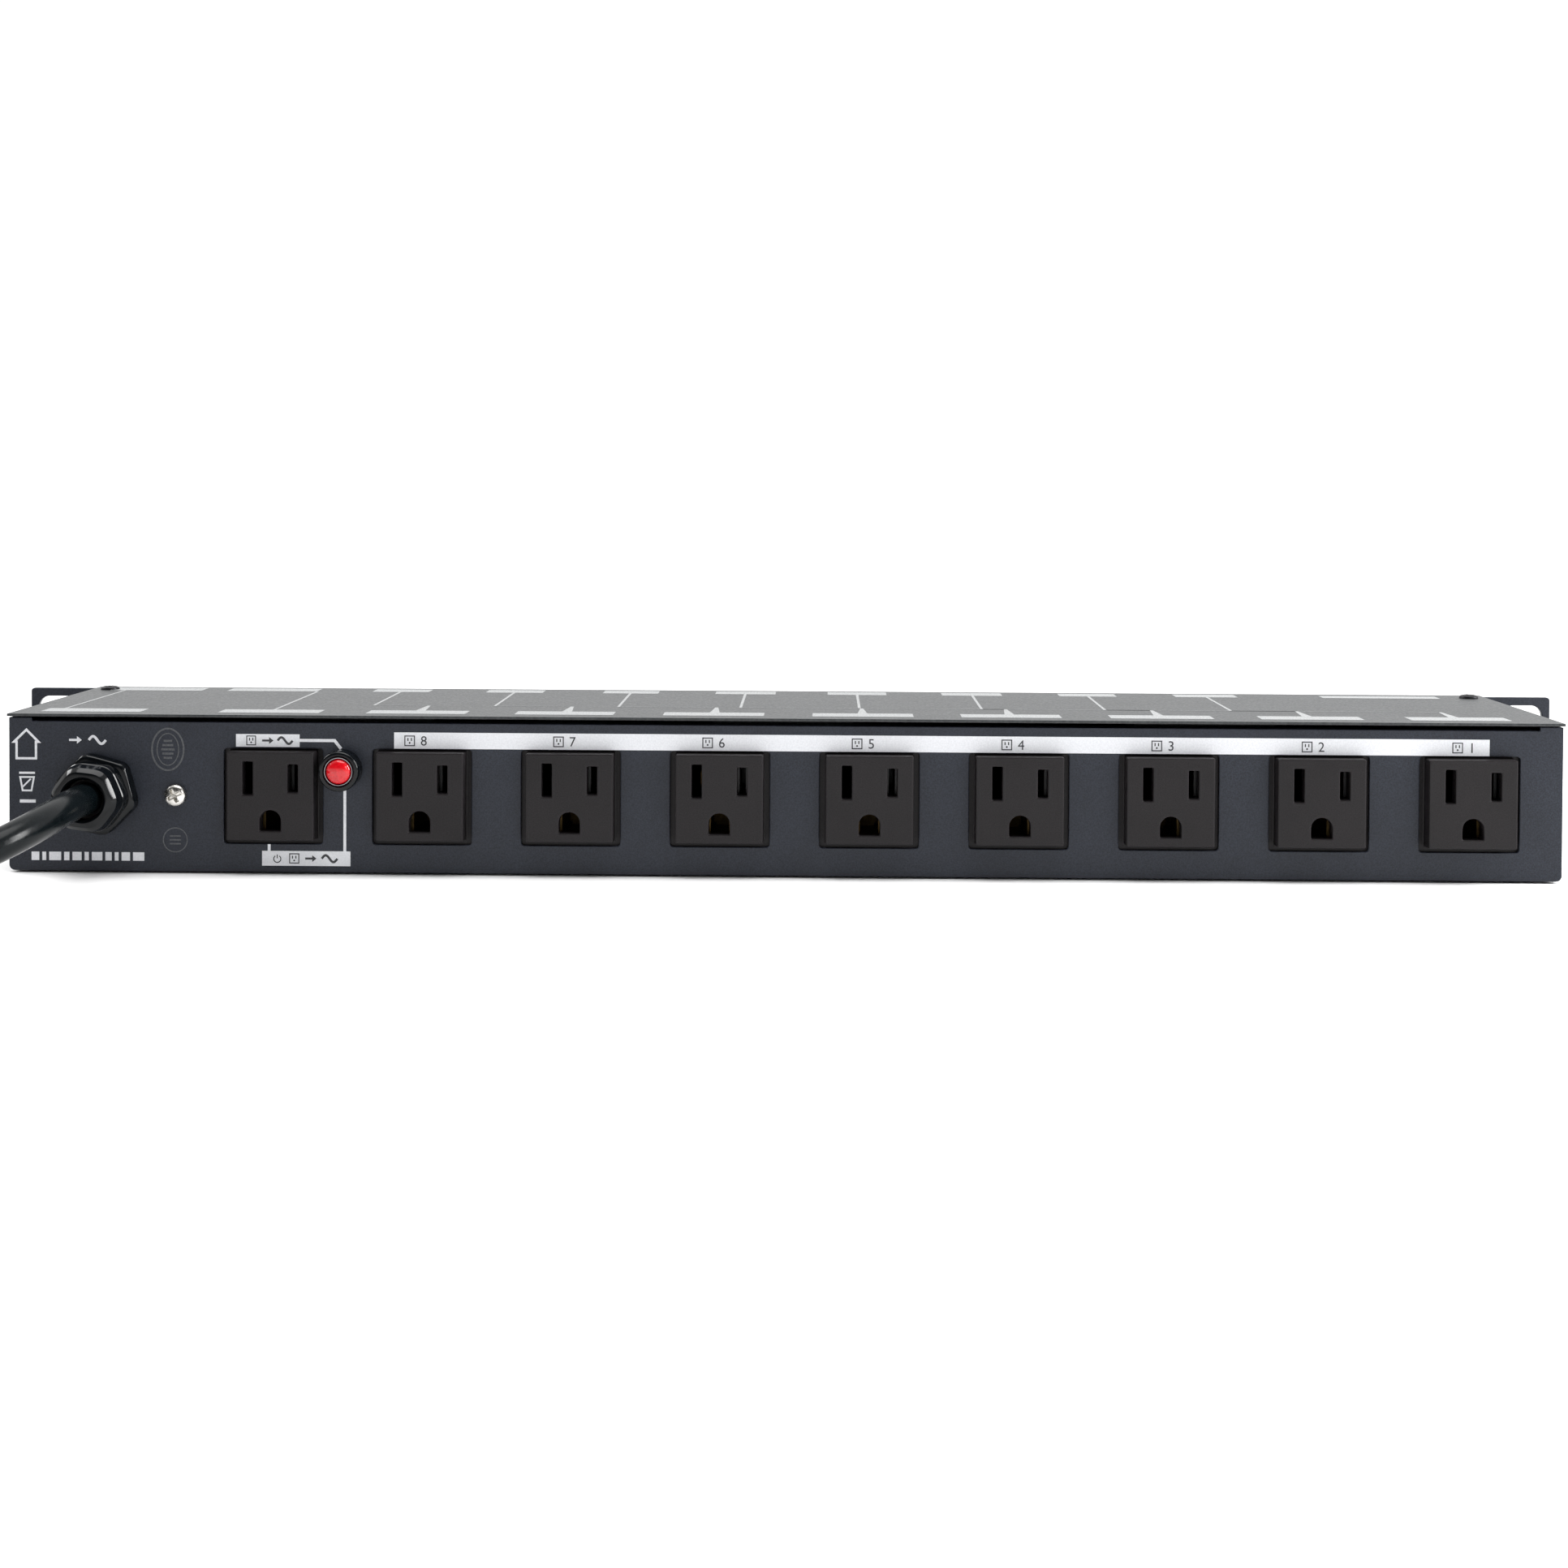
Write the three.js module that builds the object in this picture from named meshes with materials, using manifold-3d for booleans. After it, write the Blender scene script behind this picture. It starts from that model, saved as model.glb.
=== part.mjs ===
// Rack power strip: a one-unit, 19 inch switched power distribution unit.
//
// Frame, in millimetres: +X along the panel, +Y towards the rack's front panel, +Z up.
// The origin is the middle of the chassis's bottom face. The outlets face -Y.

import * as THREE from 'three';
import { mergeVertices } from 'three/addons/utils/BufferGeometryUtils.js';
import Module from 'manifold-3d';

const wasm = await Module();
wasm.setup();

// ---------------------------------------------------------------- driving dimensions

const GAP = 0.3;                     // left between pieces that touch

const CHASSIS_WIDTH = 437;
const CHASSIS_DEPTH = 88;            // rear panel's face to the rack panel's back
const SHEET = 1.2;
const RIM_HEIGHT = 43.3;             // top of the side walls
const REAR_FOLD_HEIGHT = 42.3;       // top of the rear panel's fold
const FOLD_END = 212;                // the fold stops here, short of each corner
const FOLD_DEPTH = 10;
const SIDE_FLANGE = 10;
const FRONT_FLANGE = 7;
const CORNER_RADIUS = 1.6;

const COVER_WIDTH = 438;
const COVER_SHEET = 0.8;
const COVER_TOP = 44.4;
const COVER_OVERHANG = 0.4;
const TONGUES = { x: [-120, 0, 120], width: 40 };   // they hook under the rear fold

const PANEL_WIDTH = 482.6;           // 19 inches
const PANEL_HEIGHT = 43.8;
const PANEL_THICKNESS = 2;
const RACK_HOLE_X = 232.55;          // half of 465.1 mm
const RACK_HOLE_Z = 15.875;          // half of 31.75 mm
const RACK_SLOT_LENGTH = 12.7;
const RACK_SLOT_HEIGHT = 7;

const OUTLET_COUNT = 9;
const OUTLET_PITCH = 42;
const FIRST_OUTLET_X = -143.5;
const OUTLET_FACE = { width: 24.5, height: 24.8, proud: 4.3, z: 22 };
const OUTLET_CUTOUT = { width: 28, height: 27, z: 21.5, corner: 1 };
const OUTLET_FLANGE = { width: 29.4, height: 28.6, thickness: 1.6 };   // behind the rear panel
const OUTLET_BODY = { width: 23.4, height: 23.6, depth: 24 };
const BLADE_SPACING = 12.7;
const BLADE_Z = 27;
const GROUND_Z = BLADE_Z - 11.89;
const SLOT_WIDTH = 2.8;
const NEUTRAL_SLOT_HEIGHT = 9.4;
const LINE_SLOT_HEIGHT = 7.9;
const GROUND_HOLE = 5.9;

const SWITCH_PITCH = 36.3;
const FIRST_SWITCH_X = -122;
const MASTER_SWITCH_X = -163;
const SWITCH_BEZEL = { width: 15, height: 21, proud: 1.8 };
const SWITCH_BODY = { width: 12.8, height: 18.8, back: 30 };
const ROCKER = { width: 10.4, reach: 7.6, face: 1.5, back: 4.5, tilt: 12 };
const TRUNNION = { radius: 1, length: 0.5 };

const BREAKER = { x: -200, bushing: 5.4, proud: 4.2, button: 3.2, nut: 7.6 };
const LAMP = { x: -124, z: 29.2, barrel: 4.3, bezel: 5.7, lens: 3.1, proud: 5.8 };
const EARTH_SCREW = { x: -171.1, z: 21.6, shank: 1.9, head: 3.15 };
const COVER_SCREW = { x: 213, y: 34, shank: 1.4, head: 2.5, height: 0.45 };

const CORD_DIAMETER = 8.8;
const WIRE_RADIUS = 1.7;
const WIRE_END_Z = 24;

const GLAND = { x: -193, z: 22, thread: 9.15, bore: CORD_DIAMETER / 2 + 0.8, neck: 7.4 };
const GLAND_BASE = { flats: 21, depth: 4.5, turn: 15 };
const DOME_NUT = { flats: 18.8, grip: 6.4, depth: 10.4, turn: 23, shoulder: 9.3, rim: 7.2, mouth: 5.8 };
const LOCKNUT = { flats: 24, depth: 5 };

const COIL = { x: -318, y: -60.5, floor: 1, turns: [34.5, 61.5], height: 16.8 };
const TAIL_RADIUS = 48;              // the turn that the cord's end leaves
const PLUG = { y: -8, axis: 13, relief: 22, body: 34, width: 26 };

const REAR = -CHASSIS_DEPTH / 2;
const FRONT = CHASSIS_DEPTH / 2;
const MID_Z = PANEL_HEIGHT / 2;
const PANEL_FRONT = FRONT + PANEL_THICKNESS;

const BEZEL_FRONT = PANEL_FRONT + GAP + SWITCH_BEZEL.proud;
const PIVOT_Y = BEZEL_FRONT + 0.1 - ROCKER.face;
const ROCKER_TILT = THREE.MathUtils.degToRad(ROCKER.tilt);
const ROCKER_EDGE = ROCKER.face + ROCKER.reach * Math.tan(ROCKER_TILT);

// ---------------------------------------------------------------- materials

const finish = (color, roughness, metalness) => () =>
  new THREE.MeshStandardMaterial({ color, roughness, metalness });

const blackPowderCoat = finish(0x26282c, 0.62, 0.3);
const outletPlastic = finish(0x2c2a2b, 0.5, 0);
const glossNylon = finish(0x0b0b0d, 0.25, 0);
const switchPlastic = finish(0x121214, 0.4, 0);
const redPlastic = finish(0xa01414, 0.35, 0);
const brass = finish(0xb08d4a, 0.35, 1);
const nickel = finish(0xc9c6c0, 0.25, 1);
const cordJacket = finish(0x0d0f11, 0.35, 0);
const strapFabric = finish(0x17171a, 0.9, 0);

// ---------------------------------------------------------------- solids

function toSolid(geometry) {
  const bare = geometry.index ? geometry.toNonIndexed() : geometry.clone();
  bare.deleteAttribute('normal');
  bare.deleteAttribute('uv');
  const merged = mergeVertices(bare, 1e-5);
  const corners = merged.index.array;
  const triangles = [];
  for (let i = 0; i < corners.length; i += 3) {
    const [a, b, c] = corners.slice(i, i + 3);
    if (a !== b && b !== c && c !== a) triangles.push(a, b, c);
  }
  return new wasm.Manifold(new wasm.Mesh({
    numProp: 3,
    vertProperties: new Float32Array(merged.attributes.position.array),
    triVerts: new Uint32Array(triangles),
  }));
}

function toGeometry(solid) {
  const mesh = solid.getMesh();
  const geometry = new THREE.BufferGeometry();
  geometry.setAttribute('position', new THREE.Float32BufferAttribute(mesh.vertProperties, 3));
  geometry.setIndex(new THREE.Uint32BufferAttribute(mesh.triVerts, 1));
  geometry.computeVertexNormals();
  return geometry;
}

const join = (...solids) => solids.reduce((all, next) => all.add(next));
const cut = (solid, ...tools) => tools.reduce((left, tool) => left.subtract(tool), solid);

// A box from its lowest and highest corners.
function box(x0, x1, y0, y1, z0, z1) {
  const geometry = new THREE.BoxGeometry(x1 - x0, y1 - y0, z1 - z0);
  geometry.translate((x0 + x1) / 2, (y0 + y1) / 2, (z0 + z1) / 2);
  return toSolid(geometry);
}

// A solid turned about an axis along Y through (x, z). Each profile point is [radius, y].
function turned(x, z, profile, segments = 24) {
  const points = profile.map(([radius, y]) => new THREE.Vector2(radius, y));
  const geometry = new THREE.LatheGeometry(points, segments);
  geometry.translate(x, 0, z);
  return orient(geometry);
}

// The same about an axis along Z through (x, y). Each profile point is [radius, z].
function turnedUpright(x, y, profile, segments = 24) {
  const points = profile.map(([radius, height]) => new THREE.Vector2(radius, height));
  const geometry = new THREE.LatheGeometry(points, segments);
  geometry.rotateX(Math.PI / 2);
  geometry.translate(x, y, 0);
  return orient(geometry);
}

// A lathe profile may run either way round, so its faces are turned outward here.
function orient(geometry) {
  const solid = toSolid(geometry);
  if (solid.volume() > 0) return solid;
  const flipped = geometry.clone();
  const index = flipped.index.array;
  for (let i = 0; i < index.length; i += 3) [index[i], index[i + 1]] = [index[i + 1], index[i]];
  return toSolid(flipped);
}

const rod = (x, z, radius, y0, y1, segments = 24) =>
  turned(x, z, [[0, y0], [radius, y0], [radius, y1], [0, y1]], segments);

const post = (x, y, radius, z0, z1, segments = 16) =>
  turnedUpright(x, y, [[0, z0], [radius, z0], [radius, z1], [0, z1]], segments);

// An outline in X and Z, extruded along Y from y0 to y1.
function plate(shape, y0, y1, curveSegments = 3) {
  const settings = { depth: y1 - y0, bevelEnabled: false, curveSegments };
  const geometry = new THREE.ExtrudeGeometry(shape, settings);
  geometry.rotateX(Math.PI / 2);
  geometry.translate(0, y1, 0);
  return toSolid(geometry);
}

// A hexagon about an axis along Y. One flat faces +X when turn is 0; turn is in degrees, towards +Z.
function hexagon(x, z, flats, y0, y1, turn = 0) {
  const radius = flats / Math.sqrt(3);
  const geometry = new THREE.CylinderGeometry(radius, radius, y1 - y0, 6);
  geometry.rotateY(THREE.MathUtils.degToRad(-turn));
  geometry.translate(x, (y0 + y1) / 2, z);
  return toSolid(geometry);
}

// A rectangle from corner to corner, its corners rounded by one radius below and one above.
function roundedRectangle(x0, x1, z0, z1, bottom, top = bottom) {
  const shape = new THREE.Shape();
  shape.moveTo(x0 + bottom, z0);
  shape.lineTo(x1 - bottom, z0);
  if (bottom) shape.absarc(x1 - bottom, z0 + bottom, bottom, -Math.PI / 2, 0);
  shape.lineTo(x1, z1 - top);
  if (top) shape.absarc(x1 - top, z1 - top, top, 0, Math.PI / 2);
  shape.lineTo(x0 + top, z1);
  if (top) shape.absarc(x0 + top, z1 - top, top, Math.PI / 2, Math.PI);
  shape.lineTo(x0, z0 + bottom);
  if (bottom) shape.absarc(x0 + bottom, z0 + bottom, bottom, Math.PI, 1.5 * Math.PI);
  return shape;
}

// A round tube along a smooth curve through the points. An arc is cut into twice its curveSegments.
function tube(points, radius, sides, steps) {
  const section = new THREE.Shape();
  section.absarc(0, 0, radius, 0, 2 * Math.PI);
  const path = new THREE.CatmullRomCurve3(points.map((point) => new THREE.Vector3(...point)));
  return toSolid(new THREE.ExtrudeGeometry(section, {
    extrudePath: path,
    steps,
    curveSegments: sides / 2,
    bevelEnabled: false,
  }));
}

// ---------------------------------------------------------------- assembly

const strip = new THREE.Group();

function place(name, solid, material) {
  const mesh = new THREE.Mesh(toGeometry(solid), material());
  mesh.name = name;
  strip.add(mesh);
}

// The always-on outlet is at the low-X end, then channels 8 to 1.
const outlets = Array.from({ length: OUTLET_COUNT }, (_, i) => ({
  name: i === 0 ? 'always_on' : `ch${OUTLET_COUNT - i}`,
  x: FIRST_OUTLET_X + OUTLET_PITCH * i,
}));

// The master switch is at the low-X end, then channels 8 to 1.
const switches = outlets.map((outlet, i) => ({
  name: i === 0 ? 'master' : outlet.name,
  x: i === 0 ? MASTER_SWITCH_X : FIRST_SWITCH_X + SWITCH_PITCH * (i - 1),
}));

// ---------------------------------------------------------------- sheet metal

function chassisTray() {
  const side = CHASSIS_WIDTH / 2;
  const end = FRONT - GAP;
  const outside = plate(roundedRectangle(-side, side, 0, RIM_HEIGHT, CORNER_RADIUS, 0), REAR, end);
  const inside = box(-side + SHEET, side - SHEET, REAR + SHEET, end + 1, SHEET, RIM_HEIGHT + 1);
  const foldStep = box(-FOLD_END, FOLD_END, REAR - 1, REAR + SHEET + 1,
    REAR_FOLD_HEIGHT, RIM_HEIGHT + 1);
  const fold = box(-FOLD_END, FOLD_END, REAR + SHEET / 2, REAR + FOLD_DEPTH,
    REAR_FOLD_HEIGHT - SHEET, REAR_FOLD_HEIGHT);
  let tray = join(cut(outside, inside, foldStep), fold);
  for (const sign of [-1, 1]) {
    const wall = sign * (side - SHEET / 2);
    const flangeEdge = sign * (side - SIDE_FLANGE);
    const [x0, x1] = [Math.min(wall, flangeEdge), Math.max(wall, flangeEdge)];
    const sideFlange = box(x0, x1, REAR + FOLD_DEPTH + 2, end, RIM_HEIGHT - SHEET, RIM_HEIGHT);
    const frontFlange = box(x0, x1, end - SHEET, end, SHEET / 2, RIM_HEIGHT - SHEET / 2);
    tray = join(tray, sideFlange, frontFlange);
  }
  const frontSill = box(-side + SHEET / 2, side - SHEET / 2, end - SHEET, end, SHEET / 2, FRONT_FLANGE);
  const { width, height, z, corner } = OUTLET_CUTOUT;
  const cutouts = outlets.map(({ x }) => plate(roundedRectangle(
    x - width / 2, x + width / 2, z - height / 2, z + height / 2, corner,
  ), REAR - 1, REAR + 3));
  return cut(
    join(tray, frontSill),
    ...cutouts,
    rod(GLAND.x, GLAND.z, GLAND.thread + GAP, REAR - 1, REAR + 3, 32),
    rod(LAMP.x, LAMP.z, LAMP.barrel + GAP, REAR - 1, REAR + 3),
    rod(EARTH_SCREW.x, EARTH_SCREW.z, EARTH_SCREW.shank + GAP, REAR - 1, REAR + 3, 12),
    ...coverScrewHoles(RIM_HEIGHT - 3, RIM_HEIGHT + 1),
  );
}

const coverScrewHoles = (z0, z1) => [-1, 1].map((sign) =>
  post(sign * COVER_SCREW.x, COVER_SCREW.y, COVER_SCREW.shank + GAP, z0, z1, 12));

function topCover() {
  const half = COVER_WIDTH / 2;
  const underside = COVER_TOP - COVER_SHEET;
  let cover = box(-half, half, REAR - COVER_OVERHANG, FRONT - GAP, underside, COVER_TOP);
  const tongueTop = REAR_FOLD_HEIGHT - SHEET - GAP;
  const tongueLow = tongueTop - COVER_SHEET;
  const webStart = REAR + FOLD_DEPTH + GAP;
  for (const x of TONGUES.x) {
    const [x0, x1] = [x - TONGUES.width / 2, x + TONGUES.width / 2];
    const web = box(x0, x1, webStart, webStart + COVER_SHEET, tongueLow, underside + 0.1);
    const tongue = box(x0, x1, REAR + 3, webStart + COVER_SHEET, tongueLow, tongueTop);
    cover = join(cover, web, tongue);
  }
  return cut(cover, ...coverScrewHoles(underside - 1, COVER_TOP + 1));
}

function frontPanel() {
  const half = PANEL_WIDTH / 2;
  const { width, height } = SWITCH_BODY;
  const [back, front] = [FRONT - 1, PANEL_FRONT + 1];
  const rackSlot = (x, z) => plate(roundedRectangle(
    x - RACK_SLOT_LENGTH / 2, x + RACK_SLOT_LENGTH / 2,
    z - RACK_SLOT_HEIGHT / 2, z + RACK_SLOT_HEIGHT / 2, RACK_SLOT_HEIGHT / 2 - 0.1,
  ), back, front);
  const switchCutouts = switches.map(({ x }) => box(
    x - width / 2 - GAP, x + width / 2 + GAP, back, front,
    MID_Z - height / 2 - GAP, MID_Z + height / 2 + GAP,
  ));
  return cut(
    plate(roundedRectangle(-half, half, 0, PANEL_HEIGHT, 1), FRONT, PANEL_FRONT),
    rackSlot(-RACK_HOLE_X, MID_Z - RACK_HOLE_Z),
    rackSlot(-RACK_HOLE_X, MID_Z + RACK_HOLE_Z),
    rackSlot(RACK_HOLE_X, MID_Z - RACK_HOLE_Z),
    rackSlot(RACK_HOLE_X, MID_Z + RACK_HOLE_Z),
    ...switchCutouts,
    rod(BREAKER.x, MID_Z, BREAKER.bushing + GAP, back, front),
  );
}

// ---------------------------------------------------------------- outlets and contacts

const POCKET = { width: 5.2, height: 10.6, start: REAR };
const CLIP_SHEET = 0.8;
const CLIP_START = REAR + 2;         // the clips' open end, behind the housing's face
const CLIP_BACK = REAR + OUTLET_BODY.depth + GAP;

// A round-topped ground hole with a flat foot, extruded along Y.
function groundHole(x, half, y0, y1) {
  const shape = new THREE.Shape();
  shape.moveTo(x - half, GROUND_Z - half);
  shape.lineTo(x + half, GROUND_Z - half);
  shape.lineTo(x + half, GROUND_Z);
  shape.absarc(x, GROUND_Z, half, 0, Math.PI);
  return plate(shape, y0, y1, 6);
}

function outletHousing(x) {
  const { width, height, proud, z } = OUTLET_FACE;
  const front = REAR - proud;
  const back = REAR + OUTLET_BODY.depth;
  const flangeFront = REAR + SHEET + GAP;
  const flangeBack = flangeFront + OUTLET_FLANGE.thickness;
  const flangeLow = OUTLET_CUTOUT.z - OUTLET_FLANGE.height / 2;
  const face = box(x - width / 2, x + width / 2, front, flangeBack, z - height / 2, z + height / 2);
  const flange = box(x - OUTLET_FLANGE.width / 2, x + OUTLET_FLANGE.width / 2,
    flangeFront, flangeBack, flangeLow, flangeLow + OUTLET_FLANGE.height);
  const body = box(x - OUTLET_BODY.width / 2, x + OUTLET_BODY.width / 2, REAR - 1, back,
    z - OUTLET_BODY.height / 2, z + OUTLET_BODY.height / 2);
  const slot = (offset, tall) => box(x + offset - SLOT_WIDTH / 2, x + offset + SLOT_WIDTH / 2,
    front - 1, POCKET.start + 1, BLADE_Z - tall / 2, BLADE_Z + tall / 2);
  const pocket = (offset) => box(x + offset - POCKET.width / 2, x + offset + POCKET.width / 2,
    POCKET.start, back + 1, BLADE_Z - POCKET.height / 2, BLADE_Z + POCKET.height / 2);
  const groundPocket = box(x - 4.2, x + 4.2, POCKET.start, back + 1, GROUND_Z - 4.2, GROUND_Z + 4.2);
  return cut(
    join(face, flange, body),
    slot(-BLADE_SPACING / 2, NEUTRAL_SLOT_HEIGHT),
    slot(BLADE_SPACING / 2, LINE_SLOT_HEIGHT),
    pocket(-BLADE_SPACING / 2),
    pocket(BLADE_SPACING / 2),
    groundHole(x, GROUND_HOLE / 2, front - 1, POCKET.start + 1),
    groundPocket,
  );
}

// Two leaves that grip a blade or a pin, joined by a foot across their back.
function clip(x, z, inside, tall) {
  const reach = inside / 2 + CLIP_SHEET;
  return join(
    box(x - reach, x - inside / 2, CLIP_START, CLIP_BACK + CLIP_SHEET, z - tall / 2, z + tall / 2),
    box(x + inside / 2, x + reach, CLIP_START, CLIP_BACK + CLIP_SHEET, z - tall / 2, z + tall / 2),
    box(x - reach, x + reach, CLIP_BACK, CLIP_BACK + CLIP_SHEET, z - tall / 2, z + tall / 2),
  );
}

// One strip along all the outlets, with a clip for each on a tab.
function busBar(offset, clipZ, inside, tall, barLow, barHigh) {
  const first = outlets[0].x + offset;
  const last = outlets[outlets.length - 1].x + offset;
  let bar = box(first - 8, last + 8, CLIP_BACK, CLIP_BACK + CLIP_SHEET, barLow, barHigh);
  for (const { x } of outlets) {
    const tab = box(x + offset - 2, x + offset + 2, CLIP_BACK, CLIP_BACK + CLIP_SHEET,
      Math.min(clipZ, barLow), Math.max(clipZ, barHigh));
    bar = join(bar, tab, clip(x + offset, clipZ, inside, tall));
  }
  return bar;
}

// A line clip with the insulated wire that feeds it, ending behind a switch or the breaker.
function lineWire(x, endX, endY) {
  const start = CLIP_BACK + CLIP_SHEET - 0.2;
  const middle = (start + endY) / 2;
  const wire = tube([
    [x, start, BLADE_Z],
    [x, start + 7, BLADE_Z],
    [(x + endX) / 2, middle, (BLADE_Z + WIRE_END_Z) / 2],
    [endX, endY - 7, WIRE_END_Z],
    [endX, endY, WIRE_END_Z],
  ], WIRE_RADIUS, 6, 10);
  return join(clip(x, BLADE_Z, 1.8, 8), wire);
}

// ---------------------------------------------------------------- switches and breaker

function switchBody(x) {
  const { width, height } = SWITCH_BODY;
  const cavityWidth = ROCKER.width / 2 + GAP;
  const cavityHeight = Math.hypot(ROCKER.reach, ROCKER_EDGE) + 0.2;
  return cut(
    join(
      box(x - SWITCH_BEZEL.width / 2, x + SWITCH_BEZEL.width / 2, PANEL_FRONT + GAP, BEZEL_FRONT,
        MID_Z - SWITCH_BEZEL.height / 2, MID_Z + SWITCH_BEZEL.height / 2),
      box(x - width / 2, x + width / 2, SWITCH_BODY.back, PANEL_FRONT + 1,
        MID_Z - height / 2, MID_Z + height / 2),
    ),
    box(x - cavityWidth, x + cavityWidth, PIVOT_Y - ROCKER.back - 0.6, BEZEL_FRONT + 1,
      MID_Z - cavityHeight, MID_Z + cavityHeight),
    trunnion(x, TRUNNION.radius + GAP, cavityWidth + TRUNNION.length),
  );
}

// A pin along X through the rocker's pivot.
function trunnion(x, radius, reach) {
  const geometry = new THREE.CylinderGeometry(radius, radius, 2 * reach, 8);
  geometry.rotateZ(Math.PI / 2);
  geometry.translate(x, PIVOT_Y, MID_Z);
  return toSolid(geometry);
}

// The rocker rests tilted, its upper half out and its lower half level with the bezel.
function rocker(x) {
  const outline = [
    [ROCKER_EDGE, ROCKER.reach], [ROCKER.face, 0], [ROCKER_EDGE, -ROCKER.reach],
    [-1.5, -7], [-ROCKER.back, -3], [-ROCKER.back, 3], [-1.5, 7],
  ];
  const shape = new THREE.Shape(outline.map(([out, up]) => new THREE.Vector2(out, up)));
  const geometry = new THREE.ExtrudeGeometry(shape, { depth: ROCKER.width, bevelEnabled: false });
  geometry.translate(0, 0, -ROCKER.width / 2);
  geometry.applyMatrix4(new THREE.Matrix4().set(
    0, 0, 1, 0,
    1, 0, 0, 0,
    0, 1, 0, 0,
    0, 0, 0, 1,
  ));
  geometry.rotateX(-ROCKER_TILT);
  geometry.translate(x, PIVOT_Y, MID_Z);
  return join(toSolid(geometry), trunnion(x, TRUNNION.radius, ROCKER.width / 2 + TRUNNION.length));
}

const BREAKER_FRONT = PANEL_FRONT + BREAKER.proud;

function breakerBody() {
  return cut(
    join(
      box(BREAKER.x - 7, BREAKER.x + 7, FRONT - 24, FRONT - GAP, MID_Z - 13, MID_Z + 13),
      rod(BREAKER.x, MID_Z, BREAKER.bushing, FRONT - 1, BREAKER_FRONT),
    ),
    rod(BREAKER.x, MID_Z, BREAKER.button + GAP, FRONT - 10, BREAKER_FRONT + 1),
  );
}

function breakerNut() {
  return cut(
    rod(BREAKER.x, MID_Z, BREAKER.nut, PANEL_FRONT + GAP, PANEL_FRONT + 2.8, 12),
    rod(BREAKER.x, MID_Z, BREAKER.bushing + GAP, PANEL_FRONT, PANEL_FRONT + 4),
  );
}

function breakerButton() {
  const start = FRONT - 9;
  const tip = BREAKER_FRONT + 1.6;
  return turned(BREAKER.x, MID_Z, [
    [0, start], [BREAKER.button, start], [BREAKER.button, tip - 0.6], [BREAKER.button - 0.7, tip],
    [0, tip],
  ], 20);
}

// ---------------------------------------------------------------- rear fittings

function lampBezel() {
  const back = REAR - GAP;
  const front = back - LAMP.proud;
  const bore = LAMP.lens + GAP;
  return turned(LAMP.x, LAMP.z, [
    [bore, REAR + 12], [LAMP.barrel, REAR + 12], [LAMP.barrel, back], [LAMP.bezel, back],
    [LAMP.bezel - 0.1, front + 0.5], [LAMP.bezel - 0.5, front], [bore + 0.9, front],
    [bore, front + 0.8], [bore, REAR + 12],
  ]);
}

function lampLens() {
  const rim = REAR - GAP - 5.2;
  const bulge = 1.9;
  const dome = Array.from({ length: 6 }, (_, i) => {
    const angle = (i / 5) * (Math.PI / 2);
    return [i === 5 ? 0 : LAMP.lens * Math.cos(angle), rim - bulge * Math.sin(angle)];
  });
  return turned(LAMP.x, LAMP.z, [[0, REAR + 9], [LAMP.lens, REAR + 9], ...dome], 20);
}

const GLAND_FLANGE = REAR - GAP - GLAND_BASE.depth;
const NUT_BACK = GLAND_FLANGE - GAP;
const NUT_FRONT = NUT_BACK - DOME_NUT.depth;

function glandBody() {
  const { x, z } = GLAND;
  return cut(
    join(
      hexagon(x, z, GLAND_BASE.flats, GLAND_FLANGE, REAR - GAP, GLAND_BASE.turn),
      rod(x, z, GLAND.thread, REAR - 1, REAR + 12, 32),
      rod(x, z, GLAND.neck, GLAND_FLANGE - 5.5, GLAND_FLANGE + 1, 32),
    ),
    rod(x, z, GLAND.bore, GLAND_FLANGE - 9, REAR + 14),
  );
}

function glandDomeNut() {
  const { x, z } = GLAND;
  const { flats, shoulder, rim, mouth } = DOME_NUT;
  const gripEnd = NUT_BACK - DOME_NUT.grip;
  return cut(
    join(
      hexagon(x, z, flats, gripEnd, NUT_BACK, DOME_NUT.turn),
      turned(x, z, [
        [0, gripEnd + 1], [shoulder, gripEnd + 1], [shoulder, gripEnd], [shoulder - 0.6, gripEnd - 1.6],
        [rim, NUT_FRONT + 0.6], [rim - 0.7, NUT_FRONT], [0, NUT_FRONT],
      ], 32),
    ),
    rod(x, z, GLAND.neck + GAP, GLAND_FLANGE - 5.8, NUT_BACK + 1, 32),
    rod(x, z, mouth, NUT_FRONT - 1, NUT_BACK, 32),
  );
}

function glandLocknut() {
  const { x, z } = GLAND;
  const start = REAR + SHEET + GAP;
  return cut(
    hexagon(x, z, LOCKNUT.flats, start, start + LOCKNUT.depth),
    rod(x, z, GLAND.thread + GAP, start - 1, start + LOCKNUT.depth + 1, 32),
  );
}

function earthScrew() {
  const { x, z, shank, head } = EARTH_SCREW;
  const seat = REAR - GAP;
  const screw = turned(x, z, [
    [0, REAR + 8], [shank, REAR + 8], [shank, seat], [head, seat], [head, seat - 0.9],
    [head - 0.55, seat - 1.8], [head - 1.65, seat - 2.3], [0, seat - 2.4],
  ], 20);
  const recess = (wide, tall) => box(x - wide, x + wide, seat - 3, seat - 1, z - tall, z + tall);
  return cut(screw, recess(1.7, 0.35), recess(0.35, 1.7));
}

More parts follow.
